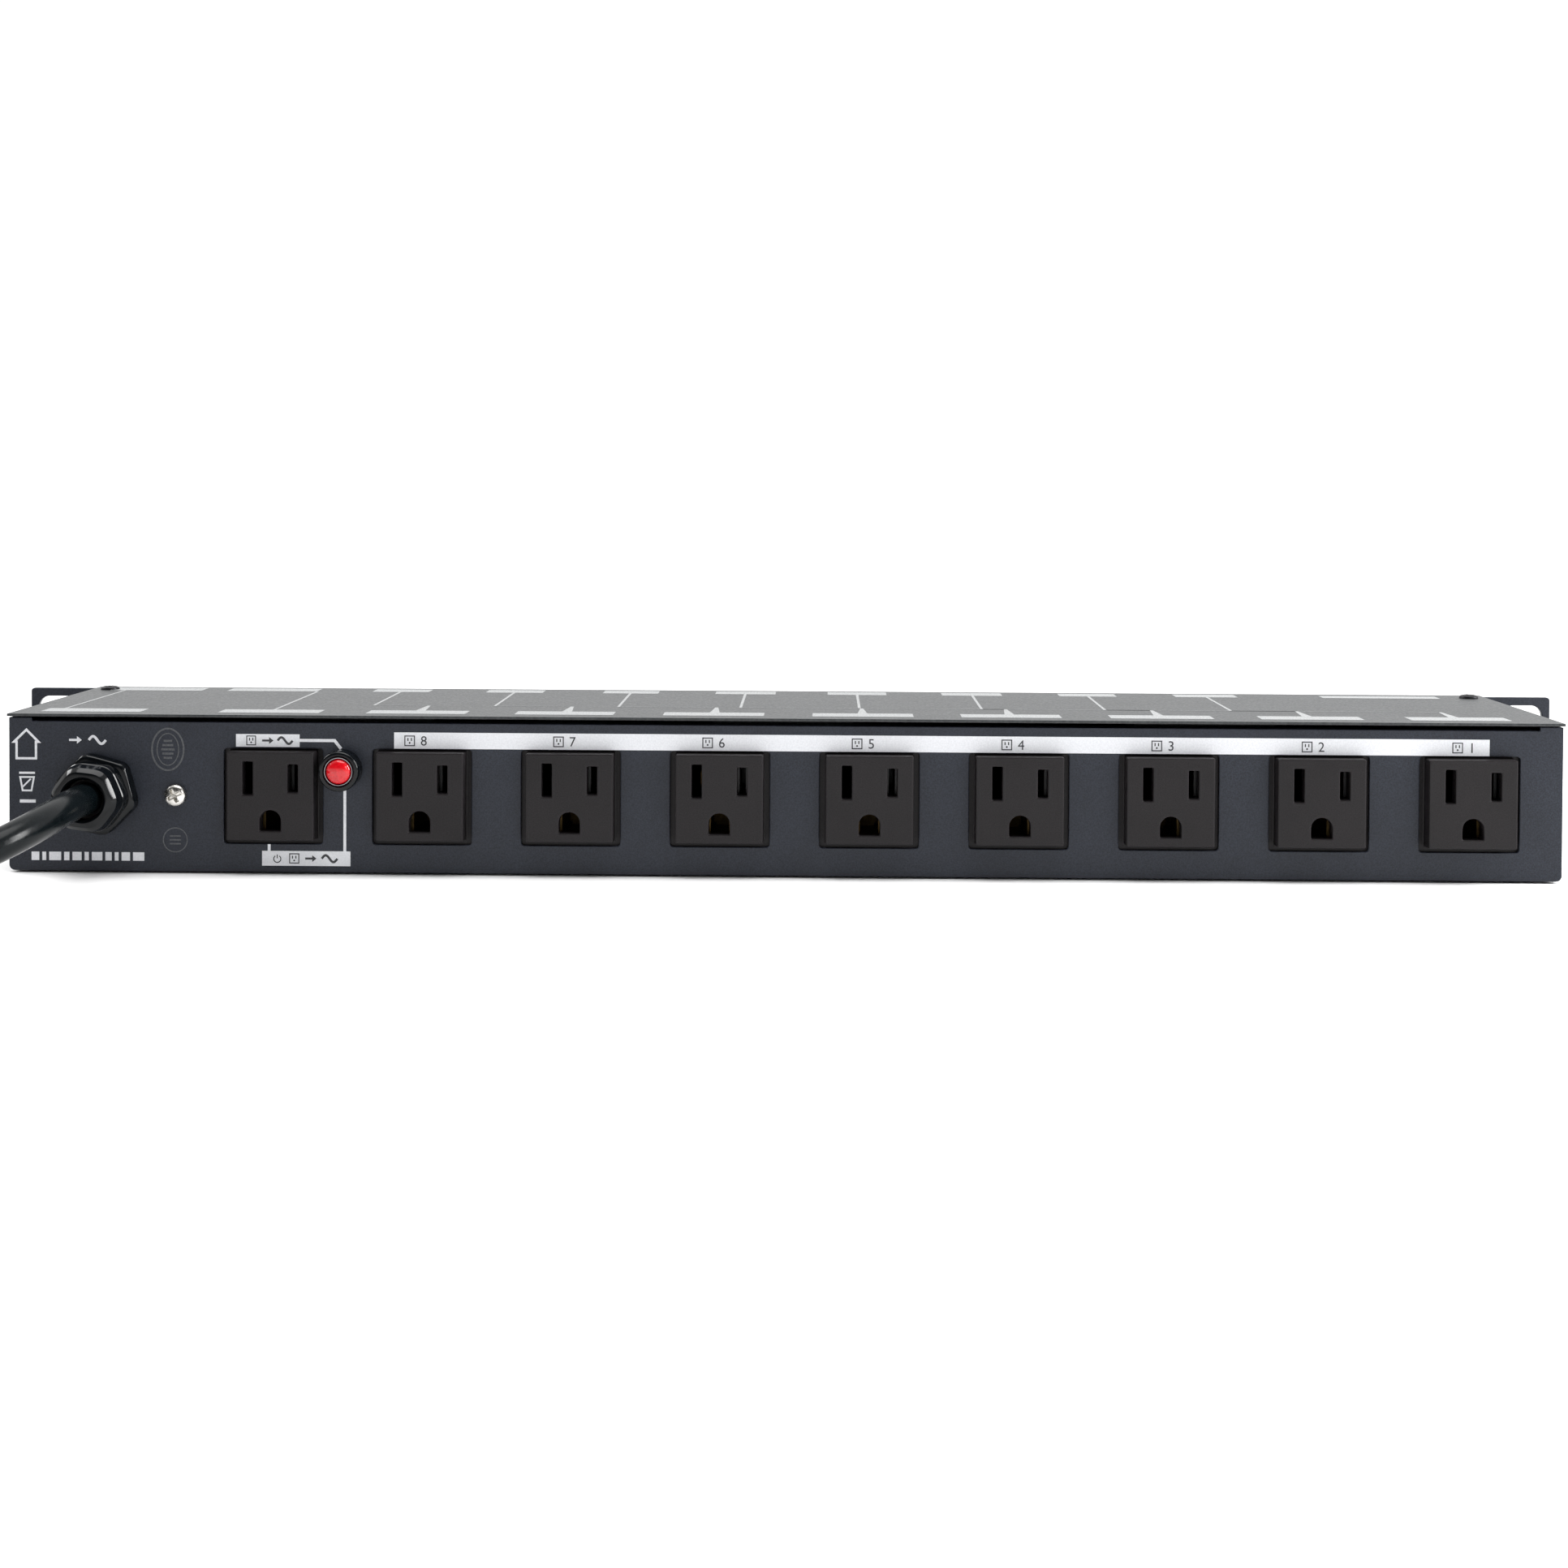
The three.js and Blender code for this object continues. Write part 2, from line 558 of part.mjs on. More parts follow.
function coverScrew(sign) {
  const [x, y] = [sign * COVER_SCREW.x, COVER_SCREW.y];
  const seat = COVER_TOP + 0.2;
  const { shank, head, height } = COVER_SCREW;
  const body = turnedUpright(x, y, [
    [0, seat - 7], [shank, seat - 7], [shank, seat], [head, seat], [head, seat + height / 2],
    [head - 0.6, seat + height], [0, seat + height],
  ], 16);
  const recess = (wide, deep) => box(x - wide, x + wide, y - deep, y + deep, seat + height / 2, seat + 2);
  return cut(body, recess(1.5, 0.3), recess(0.3, 1.5));
}

// ---------------------------------------------------------------- mains lead

// Straight out of the gland, down to the surface the strip stands on, and along it to the coil.
const CORD_ROUTE = [
  [-193, -55, 22],
  [-193, -62, 22],
  [-193, -70, 21.9],
  [-193.1, -79, 21.4],
  [-194.2, -88, 20.2],
  [-197, -96.5, 18.3],
  [-201.8, -104.3, 15.7],
  [-208.6, -111.2, 12.7],
  [-217.2, -116.6, 9.6],
  [-227.2, -120.2, 6.9],
  [-238, -121.8, 5.1],
  [-249, -122.1, 4.5],
  [-262, -122, 4.4],
  [-278, -122, 4.6],
  [-294, -122, 5.2],
];

function coilRing(grow = 0) {
  const inner = COIL.turns[0] - CORD_DIAMETER / 2 - grow;
  const outer = COIL.turns[1] + CORD_DIAMETER / 2 + grow;
  const low = COIL.floor - grow;
  const high = COIL.floor + COIL.height + grow;
  const soft = 3;
  return turnedUpright(COIL.x, COIL.y, [
    [inner, low + soft], [inner + soft, low], [outer - soft, low], [outer, low + soft],
    [outer, high - soft], [outer - soft, high], [inner + soft, high], [inner, high - soft],
    [inner, low + soft],
  ], 48);
}

// The cord's end, from the last turn to the plug.
function cordTail() {
  const x = COIL.x - TAIL_RADIUS;
  const tail = tube([
    [x, COIL.y + 30, PLUG.axis + 0.6],
    [x, COIL.y + 42, PLUG.axis + 0.5],
    [x, PLUG.y - GAP, PLUG.axis],
  ], CORD_DIAMETER / 2, 10, 4);
  return cut(tail, coilRing(GAP));
}

// A strap round the coil's bundle, at its far side.
function cordTie() {
  const width = 12;
  const thick = 0.7;
  const inner = COIL.y + COIL.turns[0] - CORD_DIAMETER / 2 - GAP;
  const outer = COIL.y + COIL.turns[1] + CORD_DIAMETER / 2 + GAP + 0.4;
  const low = COIL.floor - GAP;
  const high = COIL.floor + COIL.height + GAP;
  const [x0, x1] = [COIL.x - width / 2, COIL.x + width / 2];
  return cut(
    box(x0, x1, inner - thick - 0.6, outer + thick, low - thick, high + thick),
    box(x0 - 1, x1 + 1, inner - 0.6, outer, low, high),
  );
}

function plugBody() {
  const x = COIL.x - TAIL_RADIUS;
  const reliefEnd = PLUG.y + PLUG.relief;
  const face = reliefEnd + PLUG.body;
  const half = PLUG.width / 2;
  const relief = turned(x, PLUG.axis, [
    [0, PLUG.y], [5.6, PLUG.y], [7.2, reliefEnd + 1], [0, reliefEnd + 1],
  ]);
  const outline = new THREE.Shape();
  outline.moveTo(x - 8, reliefEnd);
  outline.lineTo(x + 8, reliefEnd);
  outline.quadraticCurveTo(x + half - 2, reliefEnd + 8, x + half - 2, reliefEnd + 18);
  outline.lineTo(x + half, face - 8);
  outline.lineTo(x + half, face);
  outline.lineTo(x - half, face);
  outline.lineTo(x - half, face - 8);
  outline.lineTo(x - half + 2, reliefEnd + 18);
  outline.quadraticCurveTo(x - half + 2, reliefEnd + 8, x - 8, reliefEnd);
  const grip = toSolid(new THREE.ExtrudeGeometry(outline, {
    depth: 2 * PLUG.axis,
    bevelEnabled: false,
    curveSegments: 4,
  }));
  return cut(
    join(relief, grip),
    ...plugPins.map(({ offset, z, half: pinHalf }) => box(
      x + offset - pinHalf[0] - GAP, x + offset + pinHalf[0] + GAP, face - 10, face + 1,
      z - pinHalf[1] - GAP, z + pinHalf[1] + GAP,
    )),
  );
}

const plugPins = [
  { name: 'plug_line_blade', offset: BLADE_SPACING / 2, z: PLUG.axis + 3.5, half: [0.75, 3.15] },
  { name: 'plug_neutral_blade', offset: -BLADE_SPACING / 2, z: PLUG.axis + 3.5, half: [0.75, 3.95] },
  { name: 'plug_ground_pin', offset: 0, z: PLUG.axis + 3.5 - 11.89, half: [2.4, 2.4] },
];

// A flat blade has chamfered corners; the ground pin is round.
function plugPin({ offset, z, half }) {
  const x = COIL.x - TAIL_RADIUS + offset;
  const face = PLUG.y + PLUG.relief + PLUG.body;
  const tip = face + (half[0] > 2 ? 20.2 : 17.5);
  const start = face - 10 + GAP;
  if (half[0] > 2) {
    return turned(x, z, [[0, start], [half[0], start], [half[0], tip - 2.4], [1.2, tip], [0, tip]], 16);
  }
  const outline = new THREE.Shape([
    [start, z - half[1]], [tip - 2, z - half[1]], [tip, z - half[1] + 1.6], [tip, z + half[1] - 1.6],
    [tip - 2, z + half[1]], [start, z + half[1]],
  ].map(([along, up]) => new THREE.Vector2(along, up)));
  const geometry = new THREE.ExtrudeGeometry(outline, { depth: 2 * half[0], bevelEnabled: false });
  geometry.applyMatrix4(new THREE.Matrix4().set(
    0, 0, 1, x - half[0],
    1, 0, 0, 0,
    0, 1, 0, 0,
    0, 0, 0, 1,
  ));
  return toSolid(geometry);
}

// ---------------------------------------------------------------- the pieces

place('chassis_tray', chassisTray(), blackPowderCoat);
place('top_cover', topCover(), blackPowderCoat);
place('front_panel', frontPanel(), blackPowderCoat);

outlets.forEach(({ name, x }) => place(`outlet_${name}`, outletHousing(x), outletPlastic));
place('neutral_bus', busBar(-BLADE_SPACING / 2, BLADE_Z, 1.8, 9, 33, 37), brass);
place('ground_bus', busBar(0, GROUND_Z, 5.2, 7, 4, 8), brass);
outlets.forEach(({ name, x }, i) => {
  const endX = i === 0 ? BREAKER.x : switches[i].x;
  const endY = (i === 0 ? FRONT - 24 : SWITCH_BODY.back) - GAP;
  place(`line_wire_${name}`, lineWire(x + BLADE_SPACING / 2, endX, endY), cordJacket);
});

switches.forEach(({ name, x }) => {
  place(`switch_body_${name}`, switchBody(x), switchPlastic);
  place(`rocker_${name}`, rocker(x), redPlastic);
});
place('breaker_body', breakerBody(), switchPlastic);
place('breaker_nut', breakerNut(), nickel);
place('breaker_button', breakerButton(), switchPlastic);

place('lamp_bezel', lampBezel(), glossNylon);
place('lamp_lens', lampLens(), redPlastic);
place('gland_body', glandBody(), glossNylon);
place('gland_dome_nut', glandDomeNut(), glossNylon);
place('gland_locknut', glandLocknut(), glossNylon);
place('earth_screw', earthScrew(), nickel);
place('cover_screw_left', coverScrew(-1), switchPlastic);
place('cover_screw_right', coverScrew(1), switchPlastic);

place('power_cord', cut(tube(CORD_ROUTE, CORD_DIAMETER / 2, 10, 24), coilRing(GAP)), cordJacket);
place('cord_coil', coilRing(), cordJacket);
place('cord_tail', cordTail(), cordJacket);
place('cord_tie', cordTie(), strapFabric);
place('plug_body', plugBody(), cordJacket);
plugPins.forEach((pin) => place(pin.name, plugPin(pin), brass));

export default strip;
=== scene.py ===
"""The looks of a one-unit rack power strip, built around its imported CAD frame.

+X runs along the panel, +Y towards the rack's front panel and +Z up. The outlets face -Y.
Shapes are written in millimetres and scaled to metres as each mesh is made.
"""

import math

import bmesh
import bpy
from mathutils import Matrix, Vector


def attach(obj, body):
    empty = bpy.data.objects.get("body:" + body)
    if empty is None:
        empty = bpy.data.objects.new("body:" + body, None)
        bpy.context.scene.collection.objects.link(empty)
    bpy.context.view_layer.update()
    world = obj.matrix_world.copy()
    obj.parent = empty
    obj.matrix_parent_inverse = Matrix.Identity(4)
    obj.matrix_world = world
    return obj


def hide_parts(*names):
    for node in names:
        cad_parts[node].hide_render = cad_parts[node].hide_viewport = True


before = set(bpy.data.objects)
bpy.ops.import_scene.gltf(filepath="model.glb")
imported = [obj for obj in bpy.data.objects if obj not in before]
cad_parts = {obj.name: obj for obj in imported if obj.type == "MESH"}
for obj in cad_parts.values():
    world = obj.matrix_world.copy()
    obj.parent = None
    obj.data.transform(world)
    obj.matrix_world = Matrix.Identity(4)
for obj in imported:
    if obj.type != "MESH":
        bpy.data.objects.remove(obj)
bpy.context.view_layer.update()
scene = bpy.context.scene

MM = 0.001
REAR = -44.0                # the rear panel's outer face
FRONT = 44.0                # the rack panel's back
PANEL_FRONT = 46.0
MID_Z = 21.9
COVER_TOP = 44.4
GAP = 0.3
TOUCH = 0.05                # a seated piece stands this far off the face under it

CHANNELS = [8, 7, 6, 5, 4, 3, 2, 1]
OUTLET_PITCH = 42.0
FIRST_SWITCH_X = -122.0
SWITCH_PITCH = 36.3
MASTER_SWITCH_X = -163.0
BREAKER_X = -200.0
LAMP = (-124.0, 29.2)
GLAND = (-193.0, 22.0)
EARTH_SCREW = (-171.1, 21.6)
COVER_SCREW_X = 213.0
COVER_SCREW_Y = 34.0
FIRST_LABEL_X = -103.0

OUTLET_NAMES = ["always_on"] + [f"ch{n}" for n in CHANNELS]
SWITCH_NAMES = ["master"] + [f"ch{n}" for n in CHANNELS]
SWITCH_X = [MASTER_SWITCH_X] + [FIRST_SWITCH_X + SWITCH_PITCH * i for i in range(len(CHANNELS))]


def in_scene(name, data):
    """A new object that holds the data, linked into the scene."""
    obj = bpy.data.objects.new(name, data)
    scene.collection.objects.link(obj)
    return obj


# ---------------------------------------------------------------- camera

CAMERA_PLACE = (0.01042, -0.71448, 0.11137)
CAMERA_YAW = -0.0153
CAMERA_PITCH = 0.0226
CAMERA_ROLL = 0.0052
CAMERA_LENS = 54.901
CAMERA_RISE = -0.15935      # the strip stands low in a taller view, so its uprights stay upright


def make_camera():
    turn = (Matrix.Rotation(CAMERA_ROLL, 3, "Y") @ Matrix.Rotation(CAMERA_PITCH, 3, "X")
            @ Matrix.Rotation(CAMERA_YAW, 3, "Z"))
    data = bpy.data.cameras.new("camera")
    data.sensor_width = 36.0
    data.lens = CAMERA_LENS
    data.shift_y = CAMERA_RISE
    data.clip_start = 0.01
    data.clip_end = 50.0
    camera = in_scene("camera", data)
    axes = Matrix((turn[0], turn[2], -turn[1])).transposed()
    camera.matrix_world = Matrix.Translation(CAMERA_PLACE) @ axes.to_4x4()
    scene.camera = camera


make_camera()


# ---------------------------------------------------------------- materials

# A Mix node's colour sockets share their names with its other sockets, so they go by number.
MIX_FIRST = 6
MIX_SECOND = 7
MIX_RESULT = 2
BLACK = (0.0, 0.0, 0.0)
NOISE_SPAN = (0.3, 0.7)     # most of a noise's values lie between these


def map_range(tree, source, low, high, to_low, to_high, interpolation="LINEAR"):
    """A node that carries values from one range over to another and holds them at its ends."""
    node = tree.nodes.new("ShaderNodeMapRange")
    node.interpolation_type = interpolation
    for socket, number in zip(("From Min", "From Max", "To Min", "To Max"),
                              (low, high, to_low, to_high)):
        node.inputs[socket].default_value = number
    tree.links.new(source, node.inputs["Value"])
    return node.outputs["Result"]


class Nodes:
    """A material's node tree, with the object's own coordinates to drive its textures."""

    def __init__(self, name):
        self.material = bpy.data.materials.new(name)
        self.material.use_nodes = True
        self.tree = self.material.node_tree
        self.shader = self.tree.nodes["Principled BSDF"]
        self.place = self.add("ShaderNodeTexCoord").outputs["Object"]

    def add(self, kind, **settings):
        node = self.tree.nodes.new(kind)
        for key, value in settings.items():
            setattr(node, key, value)
        return node

    def link(self, source, target):
        self.tree.links.new(source, target)

    def noise(self, size, detail=3.0, roughness=0.55, stretch=None):
        """A noise whose features are about `size` millimetres across."""
        texture = self.add("ShaderNodeTexNoise")
        texture.inputs["Scale"].default_value = 1.0 / (size * MM)
        texture.inputs["Detail"].default_value = detail
        texture.inputs["Roughness"].default_value = roughness
        source = self.place
        if stretch:
            mapping = self.add("ShaderNodeMapping")
            mapping.inputs["Scale"].default_value = stretch
            self.link(source, mapping.inputs["Vector"])
            source = mapping.outputs["Vector"]
        self.link(source, texture.inputs["Vector"])
        return texture.outputs["Fac"]

    def remap(self, value, low, high, to_low=0.0, to_high=1.0):
        return map_range(self.tree, value, low, high, to_low, to_high)

    def blend(self, factor, first, second):
        """Each colour is a triple or another node's output."""
        node = self.add("ShaderNodeMix", data_type="RGBA")
        self.link(factor, node.inputs["Factor"])
        for socket, colour in ((node.inputs[MIX_FIRST], first), (node.inputs[MIX_SECOND], second)):
            if isinstance(colour, tuple):
                socket.default_value = (*colour, 1.0)
            else:
                self.link(colour, socket)
        return node.outputs[MIX_RESULT]

    def colour(self, source):
        self.link(source, self.shader.inputs["Base Color"])

    def rough(self, value, low, high):
        """Roughness from low to high, following a noise."""
        self.link(self.remap(value, *NOISE_SPAN, low, high), self.shader.inputs["Roughness"])

    def bump(self, height, depth, strength=1.0):
        """Depth is in millimetres."""
        node = self.add("ShaderNodeBump")
        node.inputs["Distance"].default_value = depth * MM
        node.inputs["Strength"].default_value = strength
        self.link(height, node.inputs["Height"])
        self.link(node.outputs["Normal"], self.shader.inputs["Normal"])

    def set(self, **values):
        """Sets the shader's inputs, with their names' spaces written as underscores."""
        for name, value in values.items():
            self.shader.inputs[name.replace("_", " ")].default_value = value


def grained(name, dark, light, grain, rough, bump_depth, cloud=22.0, **constants):
    """A moulded or coated surface: fine grain over slow cloudy variation.

    Grain, cloud and bump depth are in millimetres.
    """
    nodes = Nodes(name)
    fine = nodes.noise(grain, detail=2.0, roughness=0.6)
    slow = nodes.noise(cloud, detail=2.0)
    speckle = nodes.blend(nodes.remap(fine, 0.32, 0.68), dark, light)
    cloud_shade = nodes.blend(nodes.remap(slow, 0.35, 0.65, 0.0, 0.35), speckle, BLACK)
    nodes.colour(nodes.blend(nodes.remap(slow, *NOISE_SPAN, 0.0, 0.5), speckle, cloud_shade))
    nodes.rough(fine, *rough)
    nodes.bump(fine, bump_depth)
    nodes.set(**constants)
    return nodes.material


def metal(name, dark, light, rough, scratch=(1.0, 1.0, 12.0)):
    """Plated metal with faint directional scratches and dull patches."""
    nodes = Nodes(name)
    lines = nodes.noise(1.2, detail=4.0, stretch=scratch)
    slow = nodes.noise(3.0, detail=2.0)
    nodes.colour(nodes.blend(nodes.remap(slow, 0.35, 0.65), dark, light))
    nodes.rough(lines, *rough)
    nodes.bump(lines, 0.01, 0.4)
    nodes.set(Metallic=1.0)
    return nodes.material


def fabric(name, dark, light):
    """A woven strap: two crossed waves."""
    nodes = Nodes(name)
    threads = []
    for direction in ("X", "Y"):
        wave = nodes.add("ShaderNodeTexWave", wave_type="BANDS", bands_direction=direction)
        wave.inputs["Scale"].default_value = 320.0
        wave.inputs["Distortion"].default_value = 0.6
        nodes.link(nodes.place, wave.inputs["Vector"])
        threads.append(wave.outputs["Fac"])
    weave = nodes.add("ShaderNodeMath", operation="MULTIPLY")
    nodes.link(threads[0], weave.inputs[0])
    nodes.link(threads[1], weave.inputs[1])
    nodes.colour(nodes.blend(weave.outputs[0], dark, light))
    nodes.bump(weave.outputs[0], 0.12)
    nodes.set(Roughness=0.9)
    return nodes.material


def printed_ink(name, base, worn, wear, rough):
    """Screen-printed ink, a little uneven where it meets the coat's grain."""
    nodes = Nodes(name)
    fine = nodes.noise(0.5, detail=3.0)
    nodes.colour(nodes.blend(nodes.remap(fine, *NOISE_SPAN, 0.0, wear), base, worn))
    nodes.rough(fine, *rough)
    nodes.bump(fine, 0.01)
    return nodes.material


coat = grained("powder_coat", (0.0115, 0.0138, 0.0205), (0.026, 0.0306, 0.0438), 0.42,
               (0.36, 0.52), 0.04, Specular_IOR_Level=0.3)
cover_coat = grained("cover_coat", (0.022, 0.024, 0.026), (0.050, 0.054, 0.056), 0.7,
                     (0.30, 0.46), 0.03, Specular_IOR_Level=0.34)
outlet_plastic = grained("outlet_plastic", (0.0100, 0.0088, 0.0096), (0.0190, 0.0165, 0.0178), 0.35,
                         (0.36, 0.48), 0.012, Specular_IOR_Level=0.2)
gland_nylon = grained("gland_nylon", (0.0012, 0.0018, 0.0025), (0.0025, 0.0035, 0.0045), 0.4,
                      (0.11, 0.15), 0.001, Specular_IOR_Level=0.27)
switch_plastic = grained("switch_plastic", (0.010, 0.010, 0.011), (0.017, 0.017, 0.018), 0.3,
                         (0.30, 0.42), 0.010)
cord_jacket = grained("cord_jacket", (0.0015, 0.0028, 0.0035), (0.0030, 0.0050, 0.0060), 1.1,
                      (0.17, 0.25), 0.004, Specular_IOR_Level=0.18)
plug_rubber = grained("plug_rubber", (0.0050, 0.0060, 0.0065), (0.0090, 0.0100, 0.0110), 0.4,
                      (0.38, 0.52), 0.015, Specular_IOR_Level=0.4)
wire_jacket = grained("wire_jacket", (0.010, 0.010, 0.011), (0.016, 0.016, 0.017), 0.6,
                      (0.35, 0.45), 0.010)
rocker_plastic = grained("rocker_plastic", (0.28, 0.012, 0.010), (0.36, 0.018, 0.014), 0.5,
                         (0.22, 0.32), 0.006)
seal_rubber = grained("seal_rubber", (0.004, 0.004, 0.004), (0.007, 0.007, 0.007), 0.4,
                      (0.55, 0.70), 0.010)
nickel = metal("nickel", (0.62, 0.60, 0.56), (0.80, 0.78, 0.74), (0.16, 0.30))
chrome = metal("chrome", (0.16, 0.16, 0.17), (0.26, 0.26, 0.27), (0.14, 0.24))
brass = metal("brass", (0.55, 0.38, 0.14), (0.70, 0.51, 0.22), (0.22, 0.38))
tarnished_brass = metal("tarnished_brass", (0.060, 0.040, 0.016), (0.110, 0.075, 0.030),
                        (0.40, 0.55))
black_zinc = metal("black_zinc", (0.020, 0.020, 0.022), (0.045, 0.045, 0.048), (0.30, 0.45))
strap_fabric = fabric("strap_fabric", (0.006, 0.006, 0.007), (0.020, 0.020, 0.022))
white_ink = printed_ink("white_ink", (0.80, 0.81, 0.84), (0.62, 0.63, 0.66), 0.6, (0.45, 0.60))
dark_ink = printed_ink("dark_ink", (0.020, 0.021, 0.024), (0.08, 0.08, 0.09), 0.5, (0.45, 0.60))
grey_ink = printed_ink("grey_ink", (0.44, 0.45, 0.45), (0.14, 0.145, 0.15), 0.8, (0.45, 0.60))
faint_ink = printed_ink("faint_ink", (0.085, 0.088, 0.095), (0.045, 0.048, 0.053), 1.0,
                        (0.45, 0.60))


def lit_lens():
    """A red moulded lens, faintly lit from behind."""
    nodes = Nodes("red_lens")
    fine = nodes.noise(0.9, detail=2.0)
    nodes.colour(nodes.blend(nodes.remap(fine, 0.35, 0.65), (0.46, 0.002, 0.006),
                             (0.58, 0.004, 0.010)))
    nodes.rough(fine, 0.08, 0.14)
    nodes.set(Emission_Color=(0.9, 0.01, 0.02, 1.0), Emission_Strength=0.08, Coat_Weight=0.3)
    return nodes.material


red_lens = lit_lens()


# ---------------------------------------------------------------- mesh helpers

SHARP_EDGE = 35.0           # degrees


def piece(name, vertices, faces, material, body="chassis", replaced=(), smooth=SHARP_EDGE):
    """A closed mesh in millimetres that rides on a body. Edges sharper than `smooth` stay crisp."""
    mesh = bpy.data.meshes.new(name)
    mesh.from_pydata([Vector(v) * MM for v in vertices], [], faces)
    work = bmesh.new()
    work.from_mesh(mesh)
    bmesh.ops.recalc_face_normals(work, faces=work.faces[:])
    work.to_mesh(mesh)
    work.free()
    if smooth:
        mesh.shade_smooth()
        mesh.set_sharp_from_angle(angle=math.radians(smooth))
    mesh.materials.append(material)
    obj = in_scene(name, mesh)
    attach(obj, body)
    if replaced:
        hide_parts(*replaced)
    return obj


def skin(rings, wrap=False):
    """Vertices and faces over successive rings, closed by flat ends or, with wrap, on themselves."""
    count = len(rings[0])
    vertices = [point for ring in rings for point in ring]
    faces = []
    pairs = list(zip(range(len(rings)), range(1, len(rings))))
    if wrap:
        pairs.append((len(rings) - 1, 0))
    for a, b in pairs:
        for i in range(count):
            j = (i + 1) % count
            faces.append((a * count + i, a * count + j, b * count + j, b * count + i))
    if not wrap:
        faces.append(tuple(reversed(range(count))))
        faces.append(tuple(range((len(rings) - 1) * count, len(rings) * count)))
    return vertices, faces


def lathe(centre, profile, segments=64):
    """Rings about an axis along Y through centre (x, z). The profile is (radius, y) pairs."""
    x, z = centre
    return [[(x + radius * math.cos(a), y, z + radius * math.sin(a))
             for a in (2 * math.pi * i / segments for i in range(segments))]
            for radius, y in profile]


def refined(name, material, body="chassis", bevel=0.3, steps=2):
    """A CAD node's own shape with its flat faces joined up and its edges broken."""
    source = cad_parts[name].data
    work = bmesh.new()
    corners = [work.verts.new(v.co) for v in source.vertices]
    for polygon in source.polygons:
        work.faces.new([corners[i] for i in polygon.vertices])
    bmesh.ops.remove_doubles(work, verts=work.verts[:], dist=2e-6)
    bmesh.ops.dissolve_limit(work, angle_limit=math.radians(1.0), verts=work.verts[:],
                             edges=work.edges[:])
    if bevel:
        sharp = [e for e in work.edges
                 if e.is_manifold and e.calc_face_angle() > math.radians(SHARP_EDGE)]
        bmesh.ops.bevel(work, geom=sharp, offset=bevel * MM, offset_type="OFFSET",
                        segments=steps, profile=0.5, affect="EDGES", clamp_overlap=False)
    bmesh.ops.recalc_face_normals(work, faces=work.faces[:])
    mesh = bpy.data.meshes.new(f"{name}_shape")
    work.to_mesh(mesh)
    work.free()
    mesh.materials.append(material)
    obj = in_scene(f"{name}_shape", mesh)
    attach(obj, body)
    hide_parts(name)
    return obj


def repaint(material, *names):
    """Gives CAD nodes that stay as they are their finished material."""
    for name in names:
        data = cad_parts[name].data
        data.materials.clear()
        data.materials.append(material)


# ---------------------------------------------------------------- mains lead

CORD_DIAMETER = 8.8
COIL_CENTRE = (-318.0, -60.5)
TAIL_RADIUS = 48.0
PLUG_START = -8.0
PLUG_AXIS = 13.0

# Straight out of the gland, down to the floor, and along it to the coil.
CORD_ROUTE = [
    (-193, -51, 22), (-193, -55, 22), (-193, -62, 22), (-193, -70, 21.9), (-193.1, -79, 21.4),
    (-194.2, -88, 20.2), (-197, -96.5, 18.3), (-201.8, -104.3, 15.7), (-208.6, -111.2, 12.7),
    (-217.2, -116.6, 9.6), (-227.2, -120.2, 6.9), (-238, -121.8, 5.1), (-249, -122.1, 4.5),
    (-262, -122, 4.4), (-278, -122, 4.6), (-294, -122, 5.2), (-306, -122, 5.4),
]

# The coil, turn by turn: how many turns so far, the radius and the height.
COIL_STEPS = [
    (0, 61.5, 5.4), (290 / 360, 61.5, 5.4), (350 / 360, 52.5, 5.4),
    (1 + 290 / 360, 52.5, 5.4), (1 + 350 / 360, 43.5, 5.4),
    (2 + 290 / 360, 43.5, 5.4), (2 + 350 / 360, 34.5, 5.4),
    (3 + 225 / 360, 34.5, 5.4), (3 + 255 / 360, 35, 10.4), (3 + 285 / 360, 39, 13.2),
    (3 + 320 / 360, 39, 14.2), (3 + 350 / 360, 39, 13.2), (4 + 160 / 360, 39, 13.2),
    (4 + 190 / 360, 43.5, 14.2), (4 + 220 / 360, 48, 13.2), (4 + 290 / 360, 48, 13.2),
    (4 + 320 / 360, 48, 14.2), (4 + 350 / 360, 48, 13.2), (5 + 90 / 360, 48, 13.2),
]

# The cord's end: distance along +Y from the last turn, and height.
TAIL = [(10, 13.9), (21, 14.2), (38, 14.2), (46, 14.0), (52.5, 13.5), (58, 13.1)]


def smooth_route(points, steps):
    """Catmull-Rom points through a route."""
    spots = [Vector(p) for p in points]
    spots = [2 * spots[0] - spots[1], *spots, 2 * spots[-1] - spots[-2]]
    made = []
    for a, b, c, d in zip(spots, spots[1:], spots[2:], spots[3:]):
        for i in range(steps):
            t = i / steps
            made.append(0.5 * (2 * b + (c - a) * t + (2 * a - 5 * b + 4 * c - d) * t * t
                               + (3 * b - a - 3 * c + d) * t ** 3))
    return made + [spots[-2]]


def coil_at(travel):
    """The coil's radius and height after that many turns."""
    for (t0, r0, z0), (t1, r1, z1) in zip(COIL_STEPS, COIL_STEPS[1:]):
        if travel <= t1:
            t = (travel - t0) / (t1 - t0)
            ease = t * t * (3 - 2 * t)
            return r0 + (r1 - r0) * ease, z0 + (z1 - z0) * ease
    return COIL_STEPS[-1][1:]


def coil_points(spacing=1 / 60):
    count = round(COIL_STEPS[-1][0] / spacing)
    for i in range(count + 1):
        travel = COIL_STEPS[-1][0] * i / count
        radius, height = coil_at(travel)
        angle = -math.pi / 2 - 2 * math.pi * travel
        yield Vector((COIL_CENTRE[0] + radius * math.cos(angle),
                      COIL_CENTRE[1] + radius * math.sin(angle), height))


